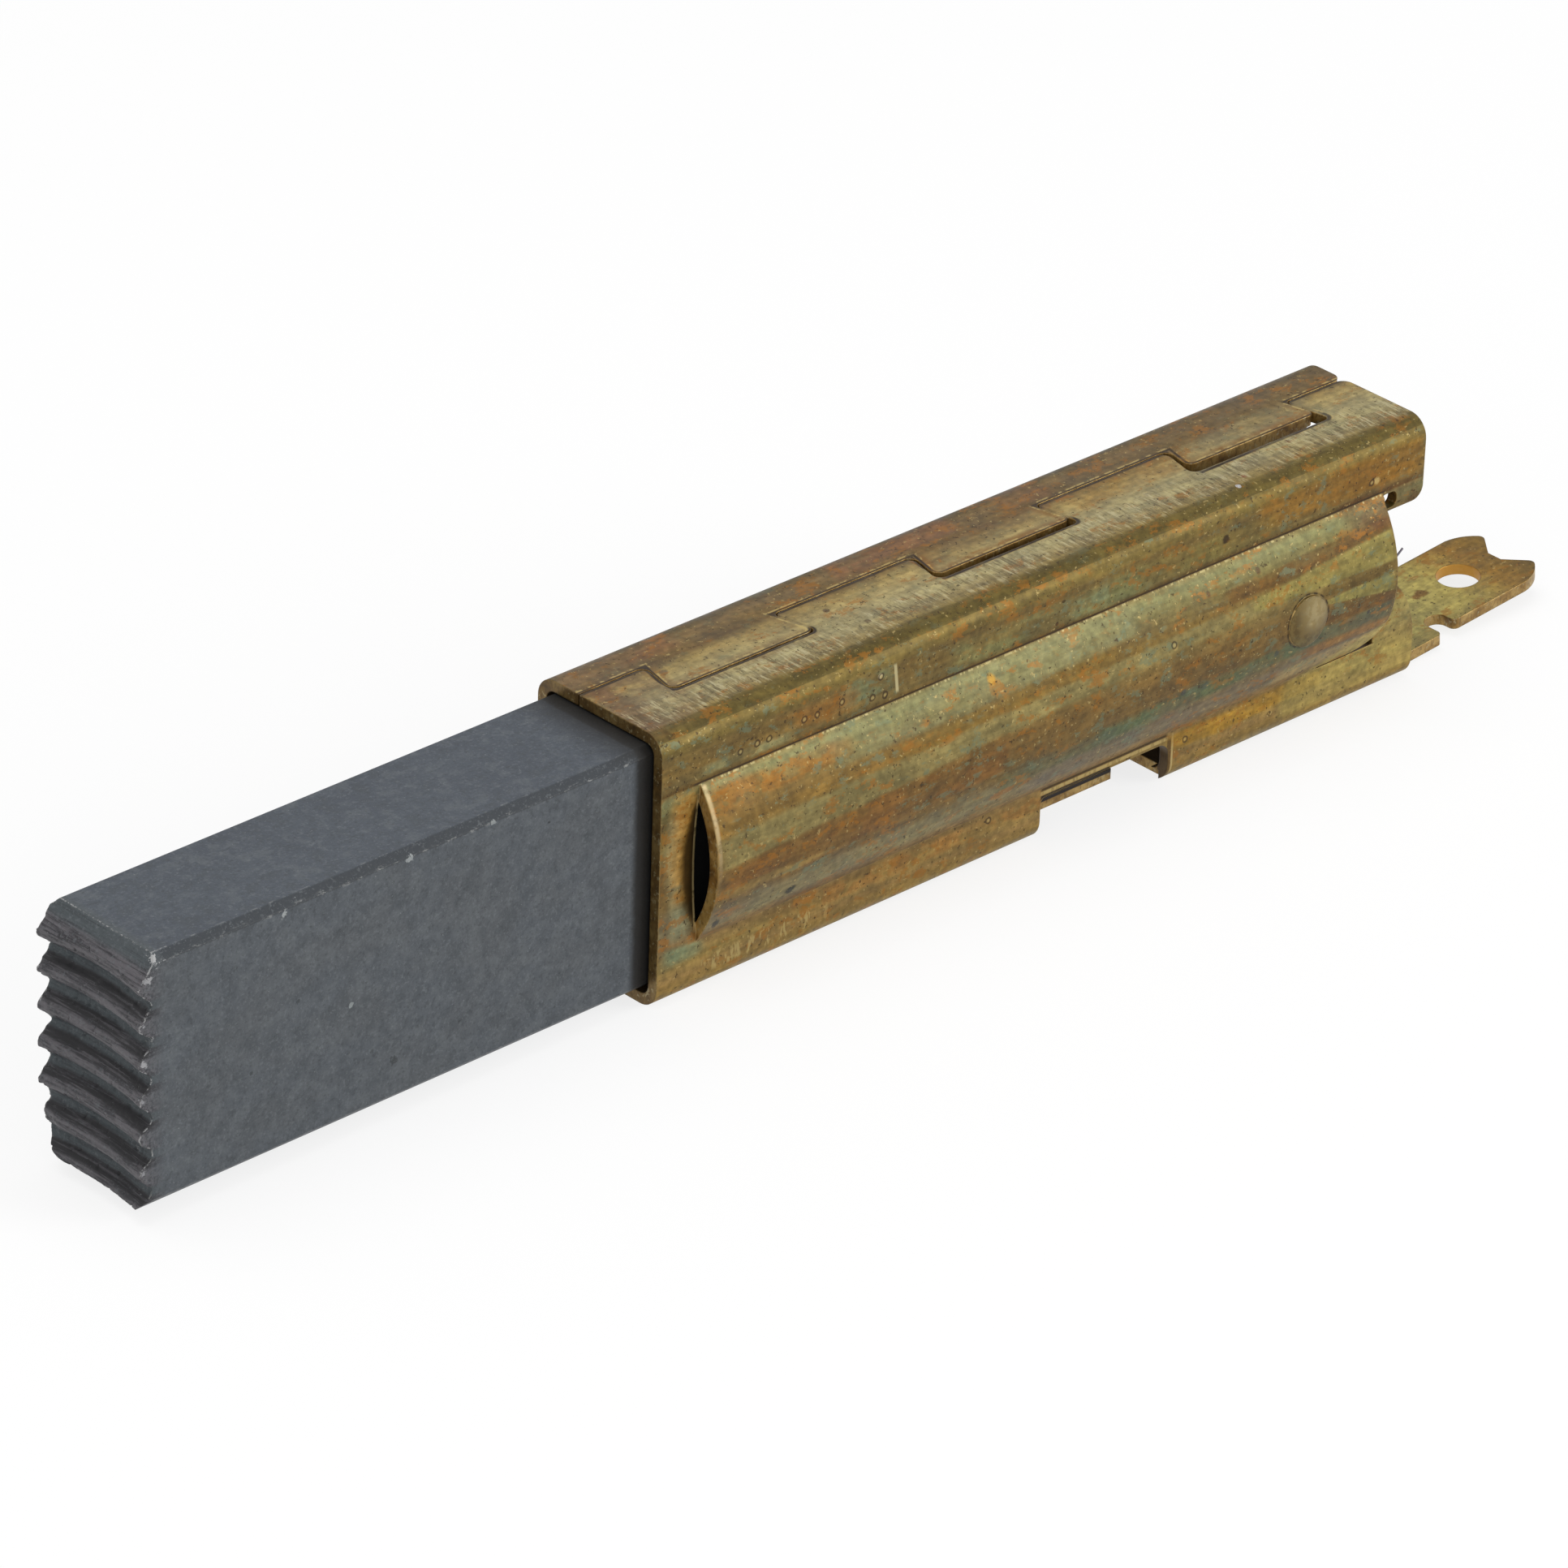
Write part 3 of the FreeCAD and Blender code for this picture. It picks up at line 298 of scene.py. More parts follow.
brassLook = {
    "wallRamp": [  # height in mm up the wide walls, colour
        (0.0, "#837647"), (0.6, "#846b31"), (1.2, "#856b3d"), (1.8, "#8a743e"), (2.35, "#7b6439"),
        (2.7, "#7c633c"), (3.3, "#786c4b"), (4.0, "#6d5e40"), (4.6, "#6b562f"), (5.4, "#66502a"),
        (6.4, "#735a2f"), (7.2, "#79683b"), (7.7, "#775e2b"), (8.2, "#65532b"), (8.8, "#685f37"),
        # the pale stops just under the crease are partly tarnish and partly a painted highlight on the
        # bulge's upper flank; the dark stop at 9.64 is painted shade along the crease
        (9.35, "#78764d"), (9.6, "#7c6e43"), (9.64, "#5c441c"), (9.95, "#6e5d35"), (10.5, "#735d30"),
        (11.2, "#705c31"), (11.6, "#726130"), (12.0, "#705e2f"), (12.3, "#625327"),
    ],
    "topRamp": [  # place in mm across the top, colour
        (-3.65, "#5b4c22"), (-3.3, "#5b4d22"), (-2.8, "#746232"), (-2.6, "#857344"), (-2.2, "#877850"),
        (-1.5, "#9c9167"), (-0.5, "#9c8e62"), (0.6, "#998450"), (1.25, "#634d2b"), (1.6, "#695532"),
        (2.4, "#715c3b"), (3.1, "#463d26"), (3.65, "#51482d"),
    ],
    "bladeRamp": [  # place in mm along the terminal tab, colour
        (21.0, "#aba160"), (25.5, "#a49756"), (27.6, "#a49450"), (29.6, "#8c6a2d"), (31.6, "#6a5529"),
    ],
    # patches on the wide walls: colour, start and end along the sleeve, low and high edge at the
    # start, low and high edge at the end, softness, strength, how broken up
    "wallPatches": [
        ("#59431f", 11.5, 19.2, 2.2, 2.45, 2.15, 2.42, 0.1, 0.75, 0.8),
        ("#6a5326", 14.0, 21.5, 1.35, 1.7, 1.3, 1.65, 0.12, 0.6, 0.9),
        ("#8c8f6d", -21.1, -20.3, 3.0, 8.8, 3.0, 8.8, 0.5, 0.6, 0.7),
        ("#72825f", -12.0, -9.0, 10.2, 11.3, 10.2, 11.3, 0.3, 0.5, 0.9),
        ("#6f8062", 1.0, 6.0, 9.9, 10.8, 9.9, 10.8, 0.3, 0.65, 0.9),
        ("#8a5c26", -19.0, -11.0, 10.1, 11.2, 10.1, 11.0, 0.4, 0.5, 0.9),
        ("#ba8a3d", -20.9, -19.6, 4.5, 9.6, 4.5, 9.6, 0.5, 0.6, 0.8),
        ("#815821", -19.4, -12.0, 8.3, 9.3, 8.5, 9.2, 0.3, 0.8, 0.6),
        ("#805f2a", -19.4, -9.0, 7.3, 8.4, 7.6, 8.3, 0.25, 0.6, 0.5),
        # this pale band on the bulge's upper flank is partly tarnish and partly a painted highlight
        ("#77744e", -13.0, 4.0, 8.2, 9.6, 8.4, 9.6, 0.25, 0.7, 0.4),
        ("#735a25", -10.0, 4.0, 7.5, 8.1, 7.9, 8.3, 0.15, 0.7, 0.5),
        ("#807447", -19.3, 12.0, 6.1, 7.35, 7.3, 7.85, 0.18, 0.85, 0.15),
        ("#7e5223", -19.0, -4.0, 4.4, 6.0, 5.0, 6.7, 0.3, 0.5, 0.6),
        ("#8c7540", -19.3, -13.5, 4.5, 5.1, 4.7, 4.9, 0.15, 0.7, 0.2),
        ("#7a724e", -17.5, -4.0, 3.0, 4.2, 3.2, 4.3, 0.35, 0.7, 0.4),
        ("#575b3c", -4.0, 5.0, 3.7, 4.8, 3.8, 4.7, 0.35, 0.7, 0.4),
        ("#525e40", 2.0, 15.0, 4.1, 4.9, 4.4, 5.2, 0.3, 0.85, 0.45),
        ("#545740", 13.5, 19.2, 4.5, 5.2, 4.3, 5.1, 0.2, 0.85, 0.2),
        ("#675946", -2.0, 19.2, 3.0, 4.0, 3.0, 3.9, 0.3, 0.7, 0.3),
        ("#855e30", 14.0, 19.2, 3.9, 4.4, 3.8, 4.2, 0.15, 0.7, 0.2),
        ("#a48c58", 13.0, 19.2, 2.9, 3.7, 2.9, 3.7, 0.2, 0.7, 0.2),
        ("#634826", 14.6, 19.2, 5.3, 5.9, 5.1, 5.6, 0.12, 0.8, 0.2),
        # the next four bands fan out over the bulge's rear end and are painted reflections of the
        # surroundings in the curved sheet
        ("#8d8347", 14.8, 19.2, 6.3, 6.5, 5.6, 6.6, 0.08, 0.9, 0.15),
        ("#5e4a22", 14.6, 19.2, 6.7, 7.2, 6.4, 7.0, 0.12, 0.75, 0.2),
        ("#837840", 10.5, 19.2, 7.4, 7.9, 7.0, 8.3, 0.12, 0.9, 0.15),
        ("#5c3e16", 9.0, 19.2, 8.0, 8.6, 8.3, 8.8, 0.12, 0.7, 0.4),
        ("#875f1f", 11.5, 21.8, 10.3, 11.5, 9.9, 11.6, 0.4, 0.85, 0.3),
        ("#57341d", 16.5, 21.8, 8.4, 9.9, 8.4, 9.9, 0.3, 0.6, 0.4),
        ("#929063", -19.5, -15.0, 9.95, 10.4, 9.95, 10.3, 0.2, 0.6, 0.6),
        ("#757449", -6.0, 5.0, 9.9, 10.9, 9.9, 11.0, 0.4, 0.75, 0.75),
        ("#726937", 3.0, 12.5, 9.9, 11.2, 9.9, 10.9, 0.3, 0.6, 0.5),
        ("#9b7628", 7.4, 16.5, 1.5, 2.3, 1.6, 2.35, 0.2, 0.9, 0.25),
        ("#a79754", 14.0, 21.8, 0.8, 2.3, 0.8, 4.6, 0.3, 0.7, 0.3),
        ("#718060", -21.3, -19.5, 1.7, 2.6, 1.9, 2.5, 0.3, 0.8, 0.3),
        ("#8e6430", -16.0, 0.0, 1.5, 2.3, 1.6, 2.3, 0.25, 0.7, 0.7),
    ],
    # patches on the top: colour, start and end along, low and high across, softness, strength, broken up
    "topPatches": [
        ("#573622", -21.8, -20.6, -3.4, 1.2, 0.5, 0.8, 0.3),
        ("#745d43", -21.8, -18.4, -3.0, 3.6, 0.8, 0.6, 0.5),
        ("#7c5838", -18.5, -15.8, 1.7, 2.9, 0.4, 0.7, 0.6),
        ("#815739", -7.0, -0.5, 1.6, 3.0, 0.5, 0.6, 0.6),
        ("#765436", 2.2, 4.8, 1.6, 3.0, 0.4, 0.6, 0.5),
        ("#8e692b", 4.6, 11.0, -0.3, 1.2, 0.4, 0.5, 0.5),
        ("#6f5634", -4.0, 4.0, 0.3, 1.3, 0.4, 0.7, 0.4),
        ("#82744f", 10.9, 19.0, -0.2, 1.3, 0.5, 0.8, 0.3),
        ("#614f30", 11.0, 21.8, 1.3, 3.6, 0.4, 0.5, 0.4),
        ("#574b25", -21.8, 21.8, -4.0, -2.75, 0.1, 0.6, 0.2),
    ],
    # spots on the wide walls: along, up, radius, colour
    "wallSpots": [
        (-19.1, 3.3, 0.2, "#2e2d28"), (-15.05, 3.42, 0.24, "#262820"), (9.8, 10.6, 0.2, "#2f2213"),
        (6.6, 5.0, 0.15, "#4a4a40"), (11.3, 8.85, 0.14, "#55432a"), (8.35, 8.75, 0.13, "#55432a"),
        (6.9, 8.6, 0.1, "#5d4c2e"), (0.05, 10.0, 0.1, "#3a2c1c"), (14.55, 6.7, 0.09, "#3a2c1c"),
        (17.6, 5.0, 0.1, "#3f3a34"), (12.1, 4.9, 0.14, "#4f5244"), (7.9, 4.85, 0.2, "#515745"),
        (-4.0, 9.0, 0.22, "#a9812f"), (18.8, 10.35, 0.17, "#b59a5e"), (6.0, 7.3, 0.16, "#a08a52"),
        (-9.9, 11.05, 0.12, "#c9ba90"),
    ],
    "topSpots": [
        (-9.4, 0.1, 0.16, "#5d4c34"), (-8.7, -1.6, 0.15, "#6a573a"), (15.7, -1.35, 0.16, "#6b5230"),
        (11.2, -2.85, 0.12, "#d9dde0"), (12.0, -2.4, 0.13, "#7d5030"), (-17.9, 0.45, 0.2, "#6a5c44"),
    ],
    "bladeSpots": [(26.35, 0.15, 0.3, "#6f4f24"), (26.0, 0.1, 0.22, "#6a4a22")],
    # rings of old splashes on the wide walls: along, up
    "rings": [
        (-17.5, 10.3), (-16.6, 10.35), (-15.95, 10.35), (-14.05, 10.55), (-13.35, 10.5), (-12.0, 10.6),
        (-10.3, 10.2), (-9.85, 11.0), (-9.6, 10.1), (8.0, 1.85), (5.95, 7.4), (18.5, 10.35), (-3.4, 2.1),
    ],
    "creaseHeight": 9.62,
    "creaseEnds": (-20.0, 19.4),
    "flangeMarks": {"ends": (-19.2, -12.5), "heights": (0.85, 1.6)},
    "seam": {"first": -18.65, "pitch": 14.75, "length": 7.85, "root": 1.3, "tip": -0.76, "flare": 0.2427},
    "dome": (13.8, 5.9, 1.15),  # along, up, radius
    "slit": {"place": -19.65, "middle": 6.1, "half": 3.4},
    "window": (-0.4, 7.05),  # its two ends
    "windowTop": 2.15,
    "scratch": {"place": 7.62, "lean": 0.13, "heights": (10.0, 11.3)},
    "hole": (28.6, 0.0, 1.0),
    "metallic": 0.4,
}


def spotted(tree, colour, point, spots, wobble, upright):
    for along, other, radius, code in spots:
        place = (along, 0, other) if upright else (along, other, 0)
        reach = calc(tree, "MULTIPLY_ADD", wobble, radius * 0.9, reachFrom(tree, point, place))
        inside = step(tree, reach, radius * 1.1, radius * 1.75, 0.9, 0.0)
        colour = paint(tree, colour, code, inside)
    return colour


def patched(tree, colour, along, across, patches, breaks):
    for number, patch in enumerate(patches):
        code, start, end, *edges, soft, strength, broken = patch
        soft *= 0.6
        if len(edges) == 4:
            low = step(tree, along, start, end, edges[0], edges[2], "LINEAR")
            high = step(tree, along, start, end, edges[1], edges[3], "LINEAR")
        else:
            low, high = edges
        above = step(tree, calc(tree, "SUBTRACT", across, low), -soft, soft)
        below = step(tree, calc(tree, "SUBTRACT", high, across), -soft, soft)
        ends = between(tree, along, start, end, 0.4)
        holes = step(tree, breaks[number % len(breaks)], 0.45, 0.55, 1 - broken, 1.0)
        colour = paint(tree, colour, code, above, below, ends, holes, strength)
    return colour


# unevenness that all of the sleeve's old skin has: clouds, rolling grain, rust, dark and light flecks
def weathered(tree, here, colour, cloud, fleck, breaks, green=0.55):
    rolled = grain(tree, here, 0.24, (0.08, 1, 1), 3.0, 0.6, shift=2.0)
    tone = step(tree, cloud, 0.36, 0.64, 0.8, 1.2, "LINEAR")
    tone = calc(tree, "MULTIPLY", tone, step(tree, rolled, 0.36, 0.64, 0.87, 1.13, "LINEAR"))
    tone = calc(tree, "MULTIPLY", tone, step(tree, fleck, 0.36, 0.64, 0.8, 1.2, "LINEAR"))
    toned = put(tree, "ShaderNodeCombineColor", {0: tone, 1: tone, 2: tone}).outputs[0]
    colour = blend(tree, 1.0, colour, toned, "MULTIPLY")
    rust = grain(tree, here, 0.6, (0.6, 1, 1), 6.0, 0.75, shift=60.0)
    rusty = product(tree, step(tree, rust, 0.53, 0.58), step(tree, breaks, 0.46, 0.56), 0.6)
    colour = paint(tree, colour, "#94601c", rusty)
    teal = product(tree, step(tree, rust, 0.46, 0.41), step(tree, breaks, 0.52, 0.44), green)
    colour = paint(tree, colour, "#66735a", teal)
    dark = grain(tree, here, 0.2, detail=3.0, roughness=0.6, shift=80.0)
    colour = paint(tree, colour, "#3a2b16", step(tree, dark, 0.62, 0.68, 0.0, 0.8))
    light = grain(tree, here, 0.19, detail=3.0, roughness=0.6, shift=95.0)
    return paint(tree, colour, "#b8a268", step(tree, light, 0.63, 0.7, 0.0, 0.55))


def finishBrass(tree, shader, colour, cloud, breaks, rim="#a58d55"):
    rounded, edge = edgesOf(tree, 0.09)
    edge = product(tree, edge, step(tree, breaks, 0.35, 0.55, 0.3, 1.0), 0.55)
    colour = paint(tree, colour, rim, edge)
    tree.links.new(colour, shader.inputs["Base Color"])
    tree.links.new(step(tree, cloud, 0.36, 0.64, 0.42, 0.6, "LINEAR"), shader.inputs["Roughness"])
    shader.inputs["Metallic"].default_value = brassLook["metallic"]
    shader.inputs["Specular IOR Level"].default_value = 0.2
    return rounded


# noises of the old strip: the bands run along it, so their edges wander slowly along and little across
def stripGrains(tree, here):
    wander = grain(tree, here, 6.0, (0.5, 1, 1), 3.0)
    drift = grain(tree, here, 2.2, (0.3, 1, 1), 4.0, shift=7.0)
    cloud = grain(tree, here, 1.1, (0.6, 1, 1), 5.0, 0.6, shift=3.0)
    fleck = grain(tree, here, 0.33, detail=3.0, shift=11.0)
    breaks = [
        grain(tree, here, 1.4, (0.5, 1, 1), 5.0, 0.65, shift=21.0),
        grain(tree, here, 0.8, (0.6, 1, 1), 4.0, 0.6, shift=33.0),
    ]
    return wander, drift, cloud, fleck, breaks


def wallBrass():
    material, tree, shader = newFinish("wallBrass")
    here, _, x, y, z = placeOn(tree)
    side = calc(tree, "ABSOLUTE", y)
    flat = put(tree, "ShaderNodeCombineXYZ", {0: x, 2: z}).outputs[0]
    wander, drift, cloud, fleck, breaks = stripGrains(tree, here)
    breaks.append(grain(tree, here, 2.0, (0.35, 1, 1), 5.0, 0.6, shift=45.0))
    along = wobbled(tree, x, (wander, 2.4))
    moved = wobbled(tree, z, (drift, 0.38), (cloud, 0.26))
    steady = step(tree, x, 12.5, 15.5, 0.0, 0.6)
    up = put(tree, "ShaderNodeMix", {0: steady, 2: moved, 3: z}).outputs[0]

    # near the crease the height isn't moved, so that the fold's line stays sharp
    crease = brassLook["creaseHeight"]
    nearCrease = between(tree, z, crease - 0.35, crease + 0.35, 0.12)
    rampUp = put(tree, "ShaderNodeMix", {0: nearCrease, 2: up, 3: z}).outputs[0]
    colour = ramp(tree, rampUp, 0.0, 12.3, brassLook["wallRamp"])
    colour = patched(tree, colour, along, up, brassLook["wallPatches"], breaks)
    colour = spotted(tree, colour, flat, brassLook["wallSpots"], fleck, True)
    green = product(tree, step(tree, z, 2.6, 3.2), step(tree, y, 3.0, 0.0, 0.2, 0.55))
    colour = weathered(tree, here, colour, cloud, fleck, breaks[2], green)

    # splash rings: a dark outline round a pale middle
    nearest = None
    for across, height in brassLook["rings"]:
        reach = reachFrom(tree, flat, (across, 0, height))
        nearest = calc(tree, "MINIMUM", nearest, reach) if nearest else reach
    nearest = wobbled(tree, nearest, (fleck, 0.12))
    colour = paint(tree, colour, "#37291a", between(tree, nearest, 0.1, 0.17, 0.03), 0.8)
    colour = paint(tree, colour, "#a99660", step(tree, nearest, 0.09, 0.05, 0.0, 0.7))

    # short upright marks on the lower flange
    dashes = grain(tree, here, 0.26, (1, 0.3, 0.3), 3.0, 0.6, shift=14.0)
    marks = brassLook["flangeMarks"]
    marked = product(tree, step(tree, dashes, 0.52, 0.6), between(tree, x, *marks["ends"], 0.8),
                     between(tree, z, *marks["heights"], 0.12), 0.6)
    colour = paint(tree, colour, "#b3a066", marked)

    # crease: a painted shade line along the fold, with a row of painted glints under it
    beads = grain(tree, here, 0.15, (1, 0.3, 0.3), 1.0, 0.5, shift=4.0)
    onWall = step(tree, side, 3.4, 3.5)
    reach = between(tree, x, *brassLook["creaseEnds"], 0.2)
    line = product(tree, between(tree, z, crease, crease + 0.1, 0.03), onWall, reach, 0.9)
    creaseGlints = product(tree, between(tree, z, crease - 0.07, crease, 0.03), onWall, reach,
                   step(tree, beads, 0.52, 0.6), 0.55)
    colour = paint(tree, colour, "#37291a", line)
    colour = paint(tree, colour, "#bfb27e", creaseGlints)

    # painted shade on the drawn-in place in front of the slit, nearly black at the slit
    slit = brassLook["slit"]["place"]
    fromMiddle = calc(tree, "SUBTRACT", z, brassLook["slit"]["middle"])
    belly = calc(tree, "POWER", calc(tree, "DIVIDE", fromMiddle, brassLook["slit"]["half"]), 2.0)
    lens = calc(tree, "SUBTRACT", x, calc(tree, "ADD", belly, slit - 1.0))
    drawnInShade = product(tree, step(tree, lens, 0.0, 0.45), step(tree, x, slit + 0.02, slit), onWall,
                    between(tree, z, 2.7, 9.4, 0.25), 0.85)
    colour = paint(tree, colour, "#45341a", drawnInShade)
    deepestShade = product(tree, step(tree, x, slit - 0.5, slit - 0.1), step(tree, x, slit + 0.02, slit),
                      onWall, between(tree, z, 3.6, 8.6, 0.5), 0.6)
    colour = paint(tree, colour, "#22180c", deepestShade)
    cutLine = product(tree, between(tree, x, slit - 0.13, slit + 0.01, 0.02), onWall,
                      step(tree, side, 3.9, 3.8), between(tree, z, 3.1, 9.1, 0.25),
                      step(tree, fleck, 0.34, 0.48, 0.35, 1.0), 0.9)
    colour = paint(tree, colour, "#cdb680", cutLine)
    # painted highlight on the bulge's rounded front rim, just behind the slit
    rimHighlight = product(tree, between(tree, x, slit + 0.04, slit + 0.24, 0.07), step(tree, side, 3.66, 3.75),
                  step(tree, z, 5.0, 8.0), step(tree, fleck, 0.34, 0.52, 0.5, 1.0), 0.65)
    colour = paint(tree, colour, "#c3ae84", rimHighlight)

    # weld dome on the near side: a dotted dark outline round a cap with painted light and shade, paler
    # towards its upper right
    domeAlong, domeUp, radius = brassLook["dome"]
    reach = reachFrom(tree, flat, (domeAlong, 0, domeUp))
    near = step(tree, y, -4.0, -4.2)
    cap = product(tree, step(tree, reach, radius, radius + 0.05, 1.0, 0.0), near, 0.8)
    # painted highlight towards the cap's upper right, painted shade towards its lower left
    lit = reachFrom(tree, flat, (domeAlong + 0.35, 0, domeUp + 0.4))
    capShading = blend(tree, step(tree, lit, 0.15, 1.35), ink("#a2936a"), ink("#5a4a2b"))
    capShading = paint(tree, capShading, "#7d6b3f", step(tree, fleck, 0.42, 0.58, 0.0, 0.5))
    colour = blend(tree, cap, colour, capShading)
    turn = calc(tree, "ARCTAN2", calc(tree, "SUBTRACT", z, domeUp), calc(tree, "SUBTRACT", x, domeAlong))
    dotted = step(tree, calc(tree, "SINE", calc(tree, "MULTIPLY", turn, 17.0)), -0.4, 0.3, 0.45, 1.0)
    outline = product(tree, between(tree, reach, radius - 0.04, radius + 0.1, 0.04), near, dotted, 0.95)
    colour = paint(tree, colour, "#32271a", outline)

    # window in the near wall: a bright burr above the cut, with a painted shadow line over it and painted
    # shade under it
    start, end = brassLook["window"]
    top = brassLook["windowTop"]
    nearWall = step(tree, y, -3.3, -3.45)
    burrPlace = between(tree, x, start, end - 0.15, 0.1)
    burr = product(tree, between(tree, z, top + 0.02, top + 0.18, 0.03), nearWall, burrPlace,
                   step(tree, beads, 0.4, 0.55, 0.5, 1.0), 0.85)
    over = product(tree, between(tree, z, top + 0.2, top + 0.33, 0.04), nearWall, burrPlace, 0.9)
    # painted shade along the wall's lowest edge over the front of the window
    under = product(tree, step(tree, z, top + 0.01, top - 0.03), nearWall,
                    between(tree, x, start, start + 4.0, 0.06), step(tree, z, top - 0.25, top - 0.15), 0.95)
    colour = paint(tree, colour, "#3a2a14", over)
    colour = paint(tree, colour, "#b09a62", burr)
    colour = paint(tree, colour, "#1d130a", under)
    upright = product(tree, between(tree, x, end + 0.16, end + 0.26, 0.03), nearWall,
                      between(tree, z, 0.5, top + 0.15, 0.15), step(tree, beads, 0.36, 0.5, 0.4, 1.0), 0.8)
    turned = product(tree, between(tree, x, end - 0.1, end + 0.13, 0.04), nearWall,
                     between(tree, z, 0.2, top + 0.05, 0.15))
    colour = paint(tree, colour, "#4f3819", turned, 0.8)
    colour = paint(tree, colour, "#b8a26c", upright)

    # a pale scratch on the upper near wall
    scratch = brassLook["scratch"]
    slanted = calc(tree, "MULTIPLY_ADD", z, scratch["lean"], x)
    fromScratch = calc(tree, "ABSOLUTE", calc(tree, "ADD", slanted, scratch["place"]))
    scratched = product(tree, step(tree, fromScratch, 0.11, 0.05),
                        between(tree, z, *scratch["heights"], 0.1), step(tree, y, -3.4, -3.5), 0.8)
    colour = paint(tree, colour, "#c2b587", scratched)

    rounded = finishBrass(tree, shader, colour, cloud, breaks[1])
    tree.links.new(bump(tree, cloud, 0.35, 0.06, rounded), shader.inputs["Normal"])
    return material


# how far a point is outside a rounded corner, from its distances past the two sides
def outside(tree, first, second, radius=0.4):
    rounded = []
    for distance in (first, second):
        rounded.append(calc(tree, "MAXIMUM", calc(tree, "ADD", distance, radius), 0.0))
    squares = calc(tree, "ADD", *(calc(tree, "MULTIPLY", side, side) for side in rounded))
    deeper = calc(tree, "ADD", calc(tree, "MAXIMUM", first, second), radius)
    within = calc(tree, "MINIMUM", deeper, 0.0)
    return calc(tree, "SUBTRACT", calc(tree, "ADD", calc(tree, "SQRT", squares), within), radius)


